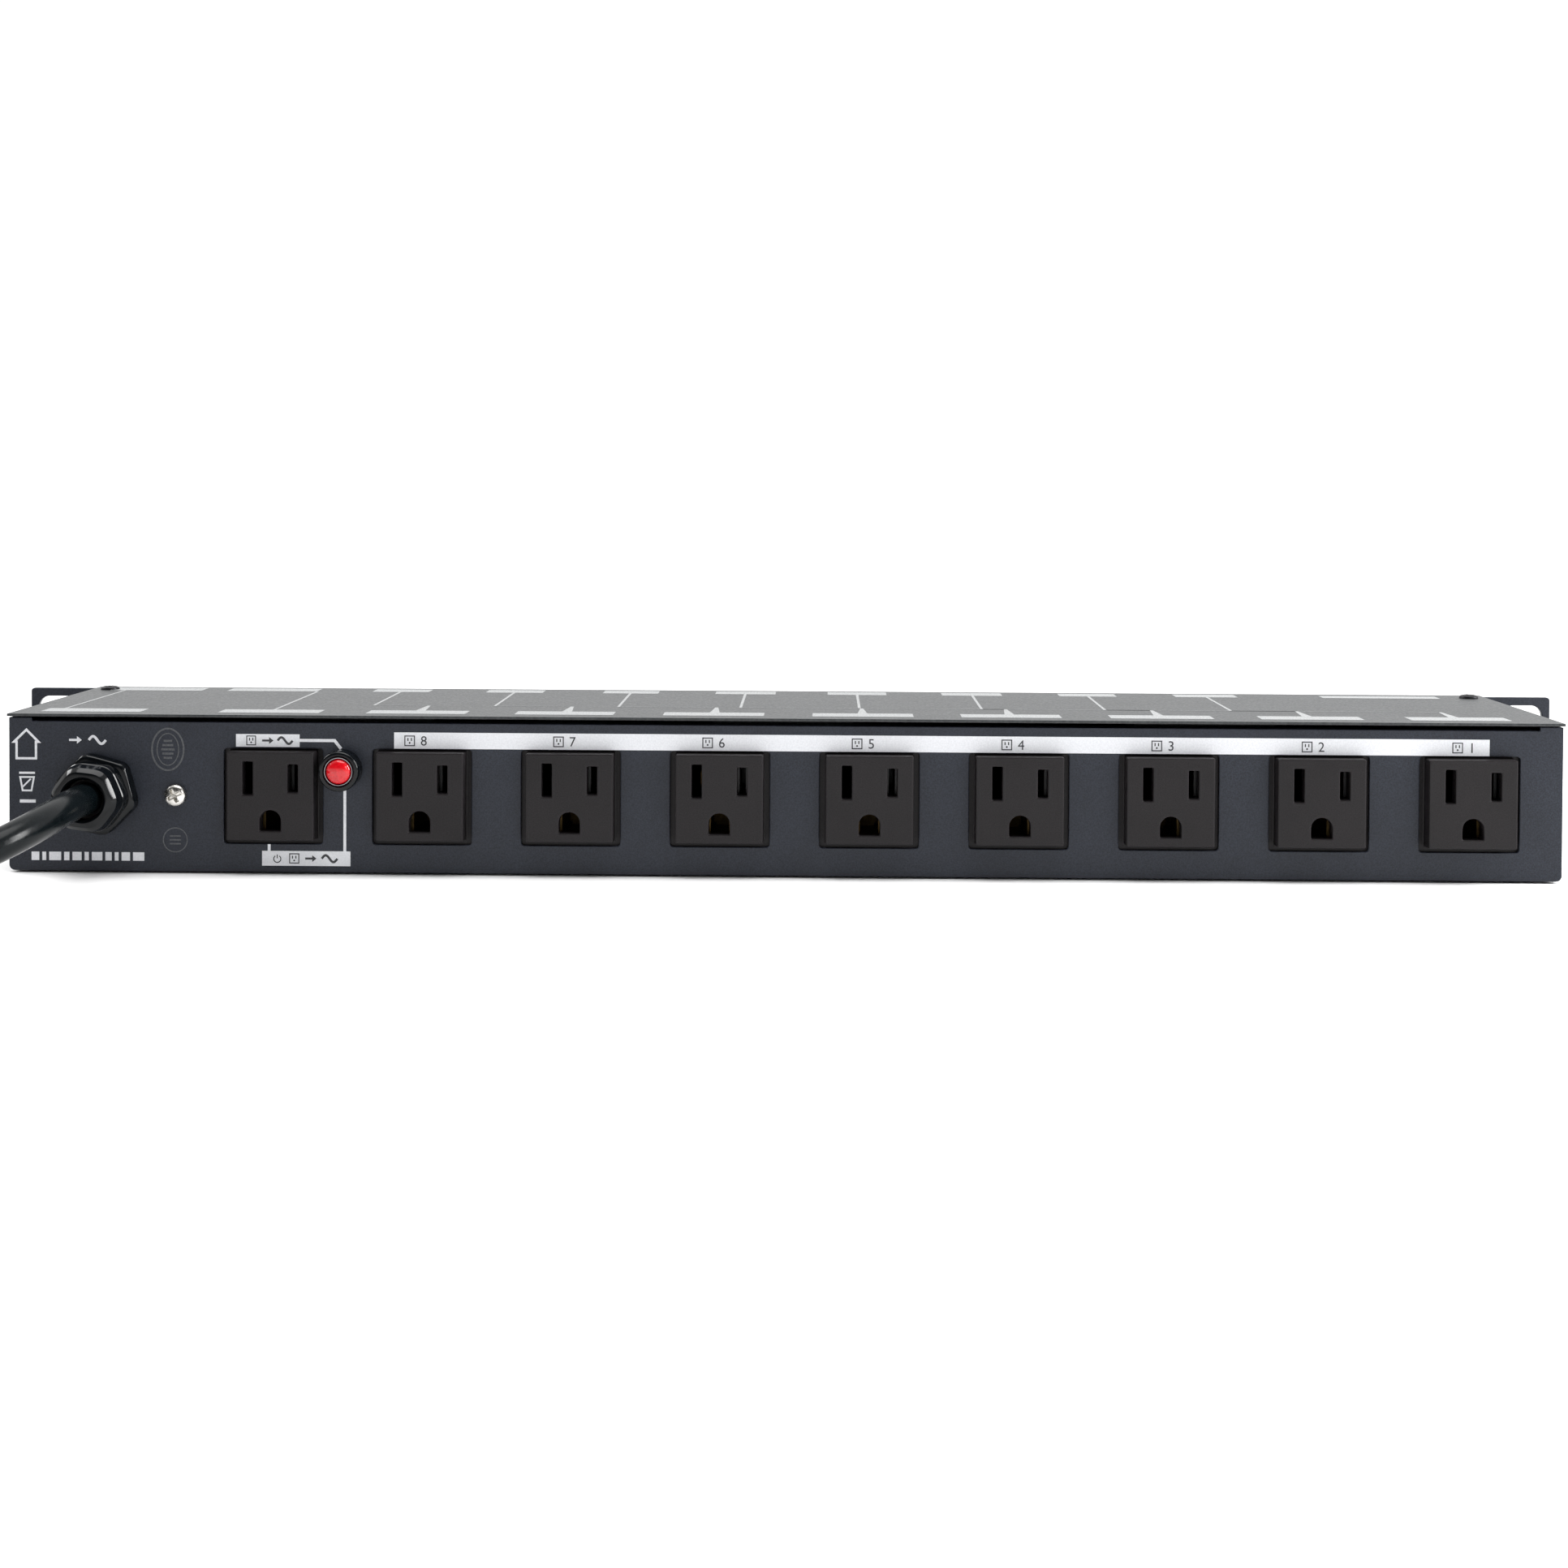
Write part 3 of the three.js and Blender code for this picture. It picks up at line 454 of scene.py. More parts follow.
def cord_points():
    start = smooth_route(CORD_ROUTE, 4)
    coil = list(coil_points())
    x, y = COIL_CENTRE[0] - TAIL_RADIUS, COIL_CENTRE[1]
    tail = smooth_route([coil[-1]] + [(x, y + along, height) for along, height in TAIL], 3)
    return start + coil + tail[1:]


def make_cord():
    points = cord_points()
    data = bpy.data.curves.new("cord", "CURVE")
    data.dimensions = "3D"
    data.bevel_depth = CORD_DIAMETER / 2 * MM
    data.bevel_resolution = 8
    data.use_fill_caps = True
    spline = data.splines.new("POLY")
    spline.points.add(len(points) - 1)
    for spot, point in zip(spline.points, points):
        spot.co = (*(point * MM), 1.0)
    spline.use_smooth = True
    data.materials.append(cord_jacket)
    obj = in_scene("cord", data)
    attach(obj, "chassis")
    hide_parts("power_cord", "cord_coil", "cord_tail")
    return obj


cord = make_cord()


def strap_ring(grow):
    """The outline of a band pulled tight round the coil's bundle, at the coil's far side."""
    centres = [coil_at(turns + 0.5) for turns in range(5)]
    reach = CORD_DIAMETER / 2 + grow
    count = 96
    outline = []
    for i in range(count):
        a = 2 * math.pi * i / count
        out, up = math.cos(a), math.sin(a)
        r, z = max(centres, key=lambda c: c[0] * out + c[1] * up)
        outline.append((r + reach * out, z + reach * up))
    return outline


def make_strap():
    width = 12.0
    inner, outer = strap_ring(0.25), strap_ring(0.95)
    x = COIL_CENTRE[0]
    rings = []
    for outline, side in ((inner, -1), (inner, 1), (outer, 1), (outer, -1)):
        rings.append([(x + side * width / 2, COIL_CENTRE[1] + r, z) for r, z in outline])
    vertices, faces = skin(rings, wrap=True)
    return piece("cord_strap", vertices, faces, strap_fabric, replaced=["cord_tie"])


strap = make_strap()


def superellipse(x, y, z, half_x, half_z, power, count=64):
    ring = []
    for i in range(count):
        a = 2 * math.pi * i / count
        c, s = math.cos(a), math.sin(a)
        ring.append((x + half_x * math.copysign(abs(c) ** (2 / power), c), y,
                     z + half_z * math.copysign(abs(s) ** (2 / power), s)))
    return ring


def round_section(y, radius):
    return (y, radius, radius, 2.0)


PLUG_X = COIL_CENTRE[0] - TAIL_RADIUS
PLUG_RELIEF = 22.0
PLUG_BODY = 34.0
PLUG_FACE = PLUG_START + PLUG_RELIEF + PLUG_BODY


def make_plug():
    """A moulded three-pin plug: ribbed strain relief, waisted grip with ridges, flat face.

    Each section is (along, half width, half height, squareness).
    """
    sections = [round_section(0.0, 5.2), round_section(0.6, 5.6)]
    for rib in range(6):
        y = 1.8 + 3.3 * rib
        wide = 5.7 + 0.22 * rib
        sections += [round_section(y, wide), round_section(y + 0.25, wide - 0.9),
                     round_section(y + 1.15, wide - 0.85), round_section(y + 1.4, wide + 0.1)]
    sections += [(22.0, 7.6, 7.6, 2.2), (23.2, 8.8, 8.6, 2.5), (25.5, 10.0, 9.6, 2.9),
                 (28.5, 10.9, 10.4, 3.2)]
    for ridge in range(5):
        y = 31.0 + 2.6 * ridge
        sections += [(y, 10.6, 10.4, 3.4), (y + 0.5, 11.1, 10.8, 3.4), (y + 1.5, 11.1, 10.8, 3.4),
                     (y + 2.0, 10.6, 10.4, 3.4)]
    sections += [(44.5, 11.0, 10.8, 3.8), (46.5, 12.4, 12.2, 4.4), (48.0, 12.9, 12.7, 5.0),
                 (54.6, 12.9, 12.7, 5.0), (55.6, 12.5, 12.3, 5.0), (56.0, 11.9, 11.7, 5.0)]
    rings = [superellipse(PLUG_X, PLUG_START + y, PLUG_AXIS, half_x, half_z, power)
             for y, half_x, half_z, power in sections]
    vertices, faces = skin(rings)
    return piece("plug_moulding", vertices, faces, plug_rubber,
                 replaced=["plug_body"])


BLADES_ABOVE_AXIS = 3.5
PIN_BELOW_BLADES = 11.89


def make_ground_pin():
    z = PLUG_AXIS + BLADES_ABOVE_AXIS - PIN_BELOW_BLADES
    profile = [(2.4, PLUG_FACE - 8), (2.4, PLUG_FACE + 17.6), (2.2, PLUG_FACE + 18.6),
               (1.7, PLUG_FACE + 19.5), (1.0, PLUG_FACE + 20.1), (0.3, PLUG_FACE + 20.2)]
    vertices, faces = skin(lathe((PLUG_X, z), profile, 32))
    return piece("ground_pin", vertices, faces, brass, replaced=["plug_ground_pin"])


plug = make_plug()
ground_pin = make_ground_pin()
line_blade = refined("plug_line_blade", nickel, bevel=0.2)
neutral_blade = refined("plug_neutral_blade", nickel, bevel=0.2)


# ---------------------------------------------------------------- sheet metal

refined("chassis_tray", coat, bevel=0.22)
refined("top_cover", cover_coat, bevel=0.18)
refined("front_panel", coat, bevel=0.25)


# ---------------------------------------------------------------- outlets

for outlet in OUTLET_NAMES:
    refined(f"outlet_{outlet}", outlet_plastic, bevel=0.35)

repaint(tarnished_brass, "neutral_bus", "ground_bus")
repaint(wire_jacket, *[f"line_wire_{name}" for name in OUTLET_NAMES])


# ---------------------------------------------------------------- gland

def near_hexagon(centre, y, flats, cap, turn, count=144):
    """A hexagon whose corners are turned down to the cap radius, about an axis along Y."""
    x, z = centre
    ring = []
    for i in range(count):
        a = 2 * math.pi * i / count
        off = (math.degrees(a) - turn + 30.0) % 60.0 - 30.0
        flat = flats / 2 / math.cos(math.radians(off))
        radius = (flat ** -40 + cap ** -40) ** (-1 / 40)
        ring.append((x + radius * math.cos(a), y, z + radius * math.sin(a)))
    return ring


ALL_ROUND = 30.0            # across flats so wide that only the corner radius shows: a circle
BASE_DEPTH = 4.5
NUT_BACK = REAR - GAP - BASE_DEPTH - GAP
GLAND_MOUTH = 5.7


def make_gland():
    """A screwed-on base with turned-down corners, a six-sided nut and the seal round the cord.

    The outer sections are (y or depth, across flats, corner radius), and the nut's depths run
    outwards from its back.
    """
    back = REAR - TOUCH
    front = REAR - GAP - BASE_DEPTH
    base_turn = 15.0
    outer = [(back, 21.0, 11.6), (front + 0.7, 21.0, 11.6), (front + 0.2, 20.6, 11.1),
             (front, 20.0, 10.6)]
    rings = [near_hexagon(GLAND, y, flats, cap, base_turn) for y, flats, cap in outer]
    rings += [near_hexagon(GLAND, y, ALL_ROUND, 7.4, base_turn) for y in (front, front - 4.5)]
    rings += [near_hexagon(GLAND, y, ALL_ROUND, 5.2, base_turn) for y in (front - 4.5, back)]
    vertices, faces = skin(rings, wrap=True)
    piece("gland_base", vertices, faces, gland_nylon, replaced=["gland_body"])

    nut_turn = 23.0
    outer = [(0.0, 18.2, 9.6), (0.4, 18.8, 10.0), (4.8, 18.8, 10.0), (5.1, 18.3, 9.8),
             (8.8, 17.3, 9.15), (9.0, 17.0, 9.0), (9.9, 15.65, 8.3), (10.15, 15.2, 8.0),
             (10.3, 14.2, 7.4)]
    rings = [near_hexagon(GLAND, NUT_BACK - y, flats, cap, nut_turn) for y, flats, cap in outer]
    inner = [(10.35, 6.4), (10.1, 6.0), (9.4, GLAND_MOUTH), (1.2, GLAND_MOUTH), (0.9, 7.9),
             (0.0, 7.9)]
    rings += [near_hexagon(GLAND, NUT_BACK - y, ALL_ROUND, radius, nut_turn)
              for y, radius in inner]
    vertices, faces = skin(rings, wrap=True)
    piece("gland_nut", vertices, faces, gland_nylon, replaced=["gland_dome_nut"],
          smooth=18.0)

    seal = NUT_BACK - 6.8
    profile = [(5.6, seal + 4.0), (5.6, seal), (5.3, seal - 0.5), (4.9, seal - 0.2),
               (4.45, seal + 0.5), (4.45, seal + 4.0)]
    vertices, faces = skin(lathe(GLAND, profile), wrap=True)
    piece("gland_seal", vertices, faces, seal_rubber)


make_gland()
repaint(gland_nylon, "gland_locknut")


# ---------------------------------------------------------------- lamp

LAMP_PROUD = 5.8


def make_lamp():
    """Black collar, thin metal ring and domed lens, one inside another."""
    back = REAR - TOUCH
    front = REAR - GAP - LAMP_PROUD
    bezel = [(3.75, back + 3), (4.3, back + 3), (4.3, back), (5.68, back), (5.68, front + 1.0),
             (5.6, front + 0.5), (5.35, front + 0.15), (5.0, front), (4.5, front),
             (4.3, front + 0.15), (4.18, front + 0.5), (4.16, front + 1.4), (3.75, front + 1.4)]
    vertices, faces = skin(lathe(LAMP, bezel, 96), wrap=True)
    piece("lamp_collar", vertices, faces, gland_nylon, replaced=["lamp_bezel"])

    ring = [(3.5, front + 1.3), (4.1, front + 1.3), (4.1, front + 0.3), (3.95, front + 0.1),
            (3.75, front + 0.1), (3.6, front + 0.3), (3.5, front + 0.7)]
    vertices, faces = skin(lathe(LAMP, ring, 96), wrap=True)
    piece("lamp_ring", vertices, faces, chrome)

    rim = front + 0.6
    radius = 3.45
    dome = [(radius, back + 2), (radius, rim)]
    for i in range(1, 12):
        a = math.pi / 2 * i / 12
        dome.append((radius * math.cos(a), rim - 1.7 * math.sin(a)))
    dome.append((0.05, rim - 1.7))
    vertices, faces = skin(lathe(LAMP, dome, 96))
    piece("lamp_dome", vertices, faces, red_lens, replaced=["lamp_lens"], smooth=60.0)


make_lamp()


# ---------------------------------------------------------------- screws

def part_way(value, start, end):
    """How far value is from start to end, from 0 to 1."""
    return max(0.0, min(1.0, (value - start) / (end - start)))


def screw_head(radius, rise, cross, count=96, rings=30):
    """A pan head with a cross recess, as rings of (across, up, out) points on its own axis."""
    angles = [2 * math.pi * i / count for i in range(count)]
    made = [[(radius * math.cos(a), radius * math.sin(a), 0.0) for a in angles]]
    for k in range(rings + 1):
        share = 1.0 - k / rings
        reach = max(radius * share, 0.02)
        dome = rise * (0.35 + 0.65 * math.sqrt(max(0.0, 1.0 - share ** 2.4)))
        ring = []
        for a in angles:
            u, v = reach * math.cos(a), reach * math.sin(a)
            across = min(abs(u), abs(v))
            along = max(abs(u), abs(v))
            recess = part_way(across, 0.52, 0.36) * part_way(along, cross, cross - 0.3)
            depth = recess * (0.75 * rise * (1.0 - 0.45 * along / cross))
            ring.append((u, v, max(dome - depth, 0.02)))
        made.append(ring)
    return made


def turned(u, v, angle):
    c, s = math.cos(angle), math.sin(angle)
    return u * c - v * s, u * s + v * c


def make_earth_screw():
    x, z = EARTH_SCREW
    tilt = math.radians(28.0)
    rings = []
    for ring in screw_head(3.15, 2.3, 2.0):
        spots = [(*turned(u, v, tilt), out) for u, v, out in ring]
        rings.append([(x + u, REAR - TOUCH - out, z + v) for u, v, out in spots])
    vertices, faces = skin(rings)
    piece("earth_screw_head", vertices, faces, nickel, replaced=["earth_screw"],
          smooth=50.0)


def make_cover_screws():
    seat = COVER_TOP + 0.03
    for side, x, turn in (("left", -COVER_SCREW_X, 0.3), ("right", COVER_SCREW_X, 1.0)):
        rings = []
        for ring in screw_head(2.9, 1.15, 1.7):
            spots = [(*turned(u, v, turn), out) for u, v, out in ring]
            rings.append([(x + u, COVER_SCREW_Y + v, seat + out) for u, v, out in spots])
        vertices, faces = skin(rings)
        piece(f"cover_screw_{side}_head", vertices, faces, black_zinc,
              replaced=[f"cover_screw_{side}"], smooth=50.0)


make_earth_screw()
make_cover_screws()


# ---------------------------------------------------------------- switches and breaker

for switch in SWITCH_NAMES:
    refined(f"switch_body_{switch}", switch_plastic, bevel=0.3)
    refined(f"rocker_{switch}", rocker_plastic, body=f"rocker_{switch}",
            bevel=0.35, steps=3)

refined("breaker_body", switch_plastic, bevel=0.3)


BREAKER_PROUD = 4.2
BUTTON_PROUD = 1.6


def make_breaker():
    """The ring nut round the breaker's bushing, and the reset button's cap."""
    back = PANEL_FRONT + TOUCH
    centre = (BREAKER_X, MID_Z)
    outer = [(back, 14.82, 7.308), (back + 0.3, 15.2, 7.569), (back + 2.2, 15.2, 7.569),
             (back + 2.6, 14.82, 7.134), (back + 2.75, 13.87, 6.699)]
    rings = [near_hexagon(centre, y, flats, cap, 30.0) for y, flats, cap in outer]
    rings += [near_hexagon(centre, y, ALL_ROUND, 5.6, 0.0) for y in (back + 2.75, back)]
    vertices, faces = skin(rings, wrap=True)
    piece("breaker_ring_nut", vertices, faces, nickel, replaced=["breaker_nut"])

    tip = PANEL_FRONT + BREAKER_PROUD + BUTTON_PROUD
    profile = [(3.2, FRONT - 9), (3.2, tip - 0.7), (3.1, tip - 0.35), (2.85, tip - 0.1), (2.5, tip),
               (0.6, tip - 0.15), (0.05, tip - 0.15)]
    vertices, faces = skin(lathe(centre, profile, 48))
    piece("breaker_cap", vertices, faces, switch_plastic, body="breaker_button",
          replaced=["breaker_button"])


make_breaker()


# ---------------------------------------------------------------- print

def bar(u0, u1, v0, v1):
    return [(u0, v0), (u1, v0), (u1, v1), (u0, v1)], [(0, 1, 2, 3)]


def outline_of(points):
    return list(points), [tuple(range(len(points)))]


def ribbon(points, width, closed=False):
    """A line of even width through the points, with mitred corners."""
    spots = [Vector(p) for p in points]
    count = len(spots)
    left, right = [], []
    for i, spot in enumerate(spots):
        before = spots[i - 1] if closed or i else None
        after = spots[(i + 1) % count] if closed or i < count - 1 else None
        steps = [(spot - before).normalized() if before is not None else None,
                 (after - spot).normalized() if after is not None else None]
        steps = [s for s in steps if s is not None]
        normals = [Vector((-s.y, s.x)) for s in steps]
        mean = (normals[0] + normals[-1]).normalized()
        reach = width / 2 / max(0.35, mean.dot(normals[0]))
        left.append(spot + mean * reach)
        right.append(spot - mean * reach)
    vertices = [tuple(p) for p in left + right]
    faces = []
    for i in range(count if closed else count - 1):
        j = (i + 1) % count
        faces.append((i, j, count + j, count + i))
    return vertices, faces


def circle(u, v, radius, count=32, start=0.0, sweep=2 * math.pi, squeeze=1.0):
    """Points round a circle, or along part of one."""
    last = count if sweep >= 2 * math.pi else count - 1
    return [(u + squeeze * radius * math.cos(start + sweep * i / last),
             v + radius * math.sin(start + sweep * i / last)) for i in range(count)]


def figure(text, u, v, size):
    """Flat faces of a numeral centred on (u, v), `size` millimetres tall."""
    curve = bpy.data.curves.new("figure", "FONT")
    curve.body = text
    curve.size = 1.0
    curve.resolution_u = 3
    holder = in_scene("figure", curve)
    mesh = bpy.data.meshes.new_from_object(
        holder.evaluated_get(bpy.context.evaluated_depsgraph_get()))
    spots = [vertex.co for vertex in mesh.vertices]
    low = Vector((min(s.x for s in spots), min(s.y for s in spots)))
    high = Vector((max(s.x for s in spots), max(s.y for s in spots)))
    scale = size / (high.y - low.y)
    middle = (low + high) / 2
    vertices = [(u + (s.x - middle.x) * scale, v + (s.y - middle.y) * scale) for s in spots]
    faces = [tuple(p.vertices) for p in mesh.polygons]
    bpy.data.objects.remove(holder)
    bpy.data.curves.remove(curve)
    bpy.data.meshes.remove(mesh)
    return vertices, faces


def on_rear(u, v, out):
    return (u, REAR - out, v)


def on_top(u, v, out):
    return (u, v, COVER_TOP + out)


def on_front(u, v, out):
    return (-u, PANEL_FRONT + out, v)


def printed(name, shapes, place, material, low=0.02, high=0.05, body="chassis"):
    """Flat shapes as one thin layer: each is raised to `high` above its surface."""
    vertices, faces = [], []
    for spots, flats in shapes:
        base = len(vertices)
        count = len(spots)
        vertices += [place(u, v, low) for u, v in spots]
        vertices += [place(u, v, high) for u, v in spots]
        edges = {}
        for flat in flats:
            faces.append(tuple(base + i for i in reversed(flat)))
            faces.append(tuple(base + count + i for i in flat))
            for a, b in zip(flat, flat[1:] + flat[:1]):
                edges[(a, b)] = True
        for a, b in edges:
            if (b, a) not in edges:
                faces.append((base + a, base + b, base + count + b, base + count + a))
    return piece(name, vertices, faces, material, body=body, smooth=0)


def outlet_sign(u, v, size):
    """A small three-slot outlet sign."""
    half = size / 2
    corners = [(u - half, v - half), (u + half, v - half), (u + half, v + half),
               (u - half, v + half)]
    return [
        ribbon(corners, size * 0.11, closed=True),
        bar(u - size * 0.24, u - size * 0.12, v - size * 0.02, v + size * 0.30),
        bar(u + size * 0.12, u + size * 0.24, v - size * 0.02, v + size * 0.30),
        outline_of(circle(u, v - size * 0.22, size * 0.10, 12)),
    ]


def mains_sign(u, v, size):
    """A sine wave, the sign for alternating current."""
    points = [(u + size * (i / 16 - 0.5), v + size * 0.22 * math.sin(2 * math.pi * i / 16))
              for i in range(17)]
    return ribbon(points, size * 0.15)


def arrow(u, v, size):
    """An arrow pointing to the right."""
    return [
        bar(u - size * 0.5, u + size * 0.12, v - size * 0.09, v + size * 0.09),
        outline_of([(u + size * 0.12, v - size * 0.3), (u + size * 0.5, v),
                    (u + size * 0.12, v + size * 0.3)]),
    ]


def power_sign(u, v, size):
    """A broken ring with a bar, the sign for power."""
    ring = circle(u, v, size / 2, 28, math.radians(125), math.radians(290))
    return [
        ribbon(ring, size * 0.14),
        bar(u - size * 0.07, u + size * 0.07, v + size * 0.08, v + size * 0.62),
    ]


# Printed rectangles and rows on the rear panel, as ends along X and then heights.
UPPER_LABEL = (-154.1, -136.1, 35.4, 39.0)
LOWER_LABEL = (-146.7, -121.7, 1.8, 6.0)
CHANNEL_STRIPE = (-109.4, 197.9, 35.15, 39.75)
UPPER_SIGNS_Z = 37.2
LOWER_SIGNS_Z = 3.9
CHANNEL_SIGNS_Z = 37.4
MAINS_SIGNS_Z = 37.0
RATING_START = -212.1
RATING_WIDTHS = (2.2, 1.1, 3.4, 1.5, 2.6, 1.2, 3.0, 1.8, 1.1, 2.4, 3.2)
RATING_SPACE = 0.85
RATING_ROW = (2.9, 5.3)
UPPER_STAMP = (-173.4, 34.5)
LOWER_STAMP = (-171.3, 8.9)


def print_rear():
    """White signs and labels, the dark signs on those labels, and two faint stamps."""
    white = []
    # a house, a waste bin and a dash
    white.append(ribbon([(-216.3, 31.7), (-210.8, 31.7), (-210.8, 36.4), (-210.1, 36.4),
                         (-213.5, 39.8), (-217.0, 36.4), (-216.3, 36.4)], 0.65, closed=True))
    white.append(ribbon([(-214.6, 22.6), (-212.1, 22.6), (-211.4, 26.4), (-215.3, 26.4)], 0.5,
                        closed=True))
    white.append(ribbon([(-215.6, 27.6), (-211.1, 27.6)], 0.6))
    white.append(ribbon([(-214.6, 23.6), (-212.3, 25.9)], 0.45))
    white.append(ribbon([(-215.4, 19.6), (-210.9, 19.6)], 0.9))
    # alternating current, in
    white += arrow(-199.6, MAINS_SIGNS_Z, 3.6)
    white.append(mains_sign(-193.4, MAINS_SIGNS_Z, 4.8))
    # the ratings, as plain marks of uneven length
    cursor = RATING_START
    for width in RATING_WIDTHS:
        white.append(bar(cursor, cursor + width, *RATING_ROW))
        cursor += width + RATING_SPACE
    # the always-on outlet's two labels and the lines that tie them to the lamp
    white.append(bar(*UPPER_LABEL))
    white.append(ribbon([(-136.1, 37.3), (-126.2, 37.3), (-124.4, 35.0)], 0.85))
    white.append(bar(-123.7, -122.9, 6.0, 23.4))
    white.append(bar(-145.1, -144.3, 6.0, 7.9))
    white.append(bar(*LOWER_LABEL))
    white.append(bar(*CHANNEL_STRIPE))
    printed("rear_print_white", white, on_rear, white_ink)

    dark = []
    dark += outlet_sign(-149.8, UPPER_SIGNS_Z, 2.5)
    dark += arrow(-145.1, UPPER_SIGNS_Z, 3.2)
    dark.append(mains_sign(-140.2, UPPER_SIGNS_Z, 4.2))
    dark += power_sign(-142.4, 3.75, 2.0)
    dark += outlet_sign(-137.6, LOWER_SIGNS_Z, 2.6)
    dark += arrow(-132.9, LOWER_SIGNS_Z, 3.2)
    dark.append(mains_sign(-127.6, LOWER_SIGNS_Z, 4.4))
    for i, number in enumerate(CHANNELS):
        label_x = FIRST_LABEL_X + OUTLET_PITCH * i
        dark += outlet_sign(label_x - 2.0, CHANNEL_SIGNS_Z, 2.7)
        dark.append(figure(str(number), label_x + 2.0, CHANNEL_SIGNS_Z, 2.7))
    printed("rear_print_dark", dark, on_rear, dark_ink,
            low=0.06, high=0.09)

    # two faint stamps: an upright ring with bars, and a small circle with bars
    faint = [
        ribbon(circle(*UPPER_STAMP, 5.9, 48, squeeze=0.76), 0.5, closed=True),
        ribbon(circle(*UPPER_STAMP, 4.5, 48, squeeze=0.68), 0.3, closed=True),
        ribbon(circle(*LOWER_STAMP, 3.4, 40), 0.3, closed=True),
    ]
    upper_x, lower_x = UPPER_STAMP[0], LOWER_STAMP[0]
    for k in range(5):
        half = 1.9 - 0.35 * abs(k - 2)
        faint.append(bar(upper_x - half, upper_x + half, 31.8 + 1.2 * k, 32.4 + 1.2 * k))
    for k in range(3):
        faint.append(bar(lower_x - 1.6, lower_x + 1.6, 7.6 + 1.1 * k, 8.0 + 1.1 * k))
    printed("rear_print_faint", faint, on_rear, faint_ink)


# Each bar's two ends along X: the sockets' bars by the rear edge, the switches' by the front edge.
SOCKET_BARS = [(-211.6, -183.1), (-160.9, -132.1), (-118.7, -90.3), (-76.3, -48.2), (-34.1, -5.4),
               (8.4, 37.1), (50.7, 79.1), (93.0, 122.2), (135.5, 164.5), (177.7, 206.0)]
SWITCH_BARS = [(-212.0, -183.3), (-175.3, -147.1), (-129.7, -111.9), (-94.1, -76.2), (-57.4, -40.1),
               (-22.2, -3.4), (12.9, 31.3), (48.6, 67.4), (85.2, 103.0), (121.3, 140.6)]
SOCKET_ROW = (-38.0, -28.5)
SWITCH_ROW = (30.5, 40.0)
CROSSING_Y = -13.0
LINE_HALF = 0.4


def print_top():
    """A wiring plan on the lid: a line from each switch's bar, and a stub up from each socket's."""
    low, high = SOCKET_ROW[1], SWITCH_ROW[0]
    shapes = [bar(a, b, *SOCKET_ROW) for a, b in SOCKET_BARS]
    shapes += [bar(a, b, *SWITCH_ROW) for a, b in SWITCH_BARS]
    shapes.append(bar(-207.6, -206.9, low, high))
    shapes.append(bar(-147.1, -146.3, low, high))
    for (s0, s1), (w0, w1) in zip(SOCKET_BARS[2:], SWITCH_BARS[2:]):
        socket, switch = (s0 + s1) / 2, (w0 + w1) / 2
        shapes.append(outline_of([(socket - 1.4, low), (socket + 1.4, low),
                                  (socket + LINE_HALF, CROSSING_Y),
                                  (socket - LINE_HALF, CROSSING_Y)]))
        shapes.append(bar(switch - LINE_HALF, switch + LINE_HALF, CROSSING_Y, high))
        shapes.append(bar(min(socket, switch) - LINE_HALF, max(socket, switch) + LINE_HALF,
                          CROSSING_Y - LINE_HALF, CROSSING_Y))
    shapes.append(bar(167.0, 203.4, high, 38.0))
    printed("top_print", shapes, on_top, grey_ink)


def print_front():
    """A sign under each switch, a short rule over each and a long one over the channels'."""
    shapes = []
    sign_z = 5.6
    for name, x in zip(SWITCH_NAMES, SWITCH_X):
        if name == "master":
            shapes += power_sign(-x, sign_z, 3.4)
        else:
            shapes.append(figure(name.removeprefix("ch"), -x, sign_z, 4.2))
        shapes.append(bar(-x - 7.5, -x + 7.5, 36.6, 37.2))
    shapes.append(bar(-SWITCH_X[-1] - 10, -FIRST_SWITCH_X + 10, 39.4, 40.2))
    shapes.append(ribbon(circle(-BREAKER_X, MID_Z, 10.5, 48), 0.5, closed=True))
    printed("front_print", shapes, on_front, white_ink)


ROCKER_PIVOT = (46.7, 21.9)
ROCKER_TILT = 24.0
ROCKER_FACE = 1.467         # from the pivot out to the face that lies level at rest
ROCKER_EDGE = -0.312        # the height, from the pivot, where the two faces meet


def print_rockers():
    """On and off signs on the rockers' two faces, at rest."""
    pivot_y, pivot_z = ROCKER_PIVOT
    slope = math.radians(ROCKER_TILT)
    for name, x in zip(SWITCH_NAMES, SWITCH_X):
        def lower(u, v, out):
            return (x - u, pivot_y + ROCKER_FACE + out, pivot_z + v)

        def upper(u, v, out):
            along = v * math.cos(slope) - out * math.sin(slope)
            away = v * math.sin(slope) + out * math.cos(slope)
            return (x - u, pivot_y + ROCKER_FACE + away, pivot_z + ROCKER_EDGE + along)

        body = f"rocker_{name}"
        printed(f"{body}_off", [ribbon(circle(0, -4.3, 1.25, 28), 0.42, closed=True)], lower,
                white_ink, low=0.01, body=body)
        printed(f"{body}_on", [bar(-0.22, 0.22, 2.9, 5.3)], upper, white_ink,
                low=0.01, body=body)


print_rear()
print_top()
print_front()
print_rockers()


# ---------------------------------------------------------------- studio

FLOOR_DROP = 0.0006         # metres, so that nothing on the floor shares its plane


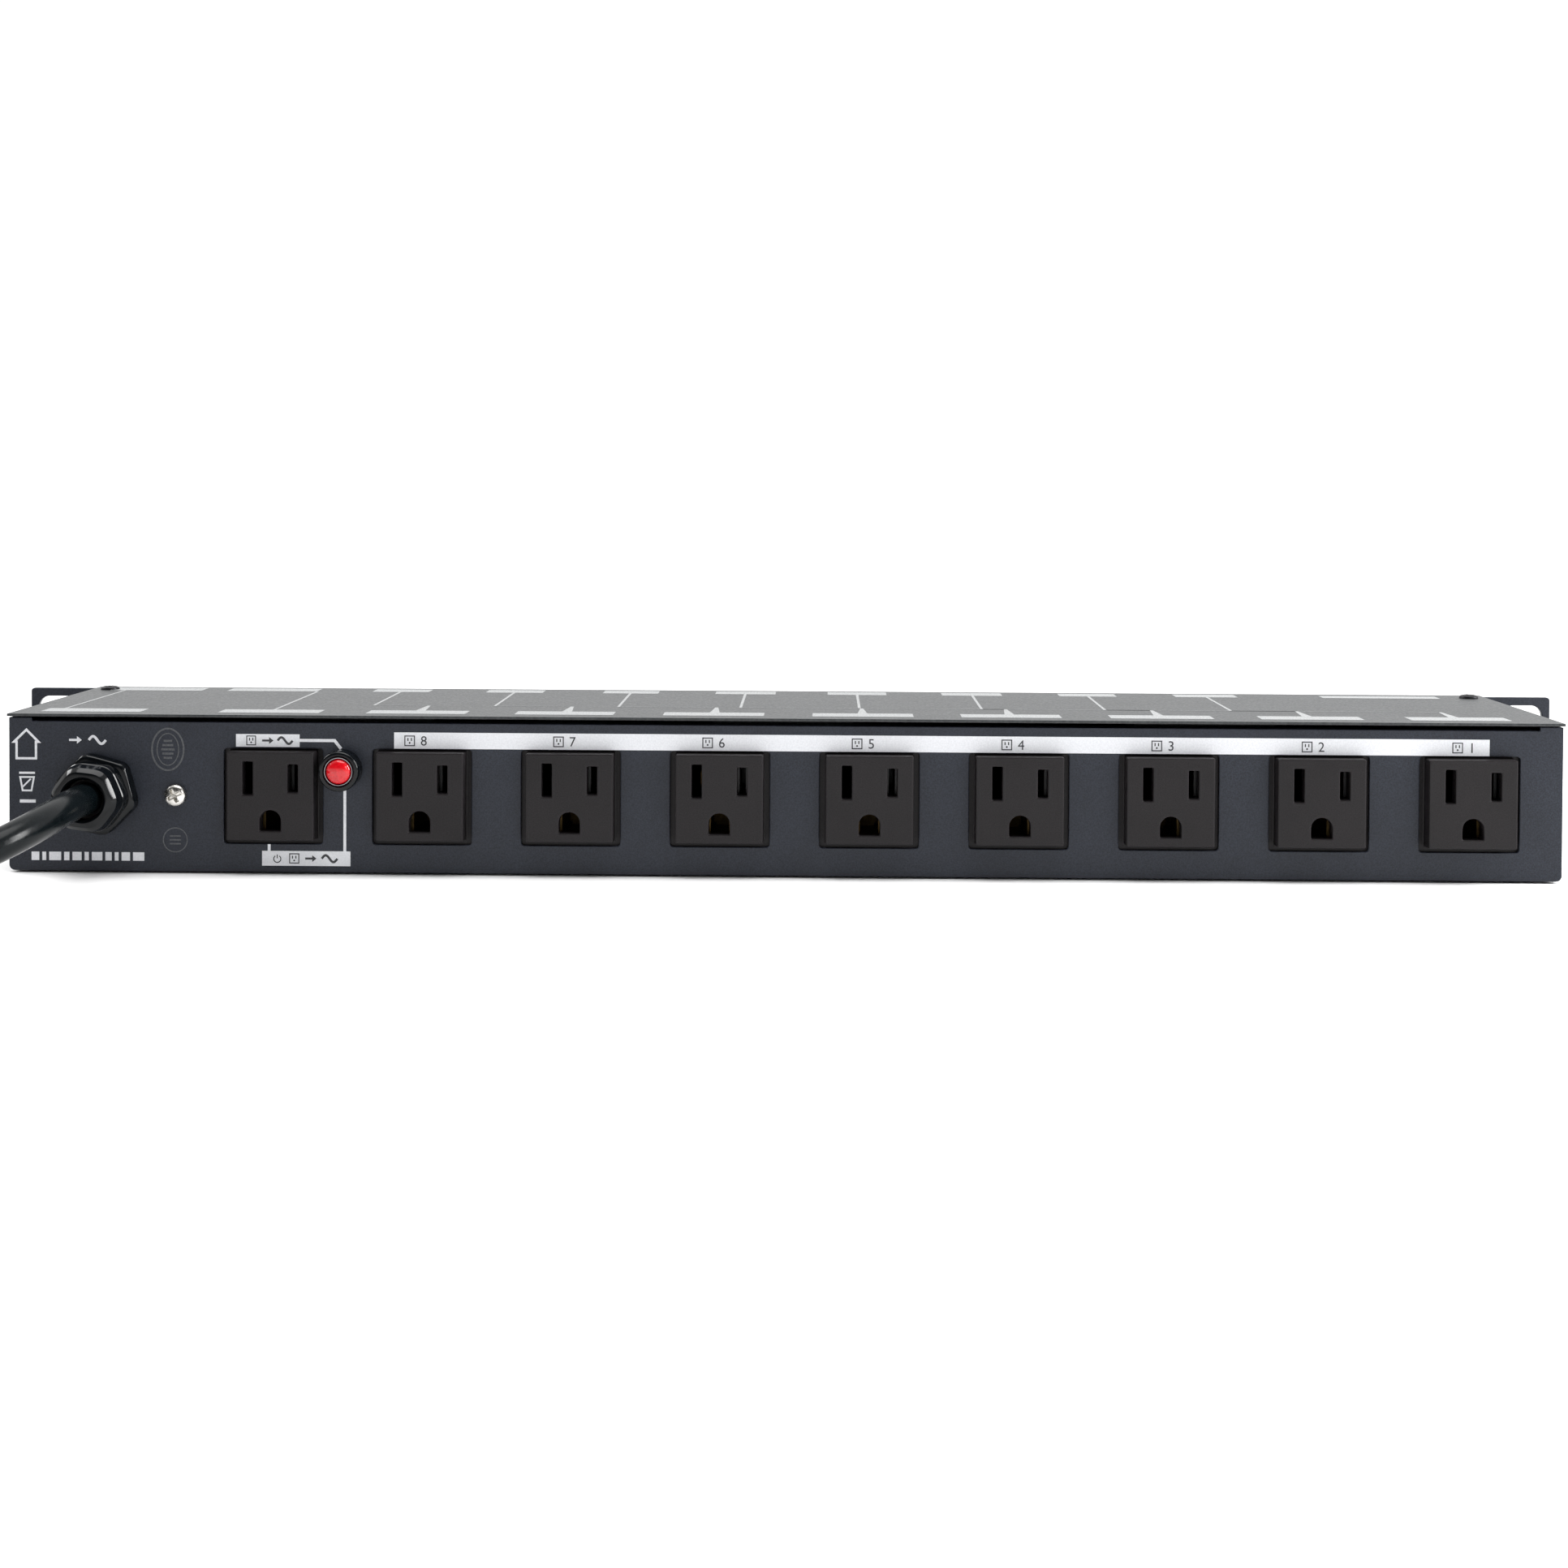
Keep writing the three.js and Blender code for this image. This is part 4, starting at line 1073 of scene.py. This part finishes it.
def make_floor():
    nodes = Nodes("floor")
    slow = nodes.noise(900.0, detail=2.0)
    nodes.colour(nodes.blend(slow, (0.86, 0.86, 0.86), (0.90, 0.90, 0.90)))
    nodes.set(Roughness=0.85, Specular_IOR_Level=0.1)
    mesh = bpy.data.meshes.new("floor")
    reach = 20.0
    corners = [(-reach, -reach, 0), (reach, -reach, 0), (reach, reach, 0), (-reach, reach, 0)]
    mesh.from_pydata(corners, [], [(0, 1, 2, 3)])
    mesh.materials.append(nodes.material)
    floor = in_scene("floor", mesh)
    floor.location = (0, 0, -FLOOR_DROP)


def make_world():
    """A white studio: bright above, behind and low all round, and dim before the outlets."""
    world = bpy.data.worlds.new("studio")
    world.use_nodes = True
    tree = world.node_tree
    background = tree.nodes["Background"]
    place = tree.nodes.new("ShaderNodeTexCoord")
    axis = tree.nodes.new("ShaderNodeVectorMath")
    axis.operation = "DOT_PRODUCT"
    axis.inputs[1].default_value = (0.0, 1.0, 0.55)
    tree.links.new(place.outputs["Generated"], axis.inputs[0])
    parts = tree.nodes.new("ShaderNodeSeparateXYZ")
    tree.links.new(place.outputs["Generated"], parts.inputs[0])
    brightest = tree.nodes.new("ShaderNodeMath")
    brightest.operation = "MAXIMUM"
    ramps = ((axis.outputs["Value"], -0.35, 0.65, 0.05, 1.05),
             (parts.outputs["Z"], 0.08, 0.28, 1.05, 0.0))
    for socket, ramp in zip(brightest.inputs, ramps):
        tree.links.new(map_range(tree, *ramp, "SMOOTHSTEP"), socket)
    tree.links.new(brightest.outputs[0], background.inputs["Strength"])
    background.inputs["Color"].default_value = (1.0, 1.0, 1.0, 1.0)
    scene.world = world


def soft_light(name, place, aim, size, power):
    data = bpy.data.lights.new(name, "AREA")
    data.shape = "RECTANGLE"
    data.size, data.size_y = size
    data.energy = power
    light = in_scene(name, data)
    light.location = place
    light.rotation_euler = (Vector(aim) - Vector(place)).to_track_quat("-Z", "Y").to_euler()


GLAND_AIM = (-0.184, -0.05, 0.025)


def make_lights():
    sun = bpy.data.lights.new("overhead", "SUN")
    sun.energy = 1.9
    sun.angle = math.radians(50.0)
    overhead = in_scene("overhead", sun)
    overhead.rotation_euler = (math.radians(5.0), math.radians(6.0), 0.0)
    soft_light("key", (0.95, -1.05, 0.6), (0.05, 0.0, 0.0), (0.5, 0.5), 2.7)
    soft_light("right_side", (0.746, -0.08, 0.395), GLAND_AIM, (0.20, 0.5), 8.0)
    soft_light("left_side", (-0.81, 0.21, 0.61), GLAND_AIM, (0.5, 0.26), 4.2)


make_floor()
make_world()
make_lights()
scene.view_settings.view_transform = "Standard"
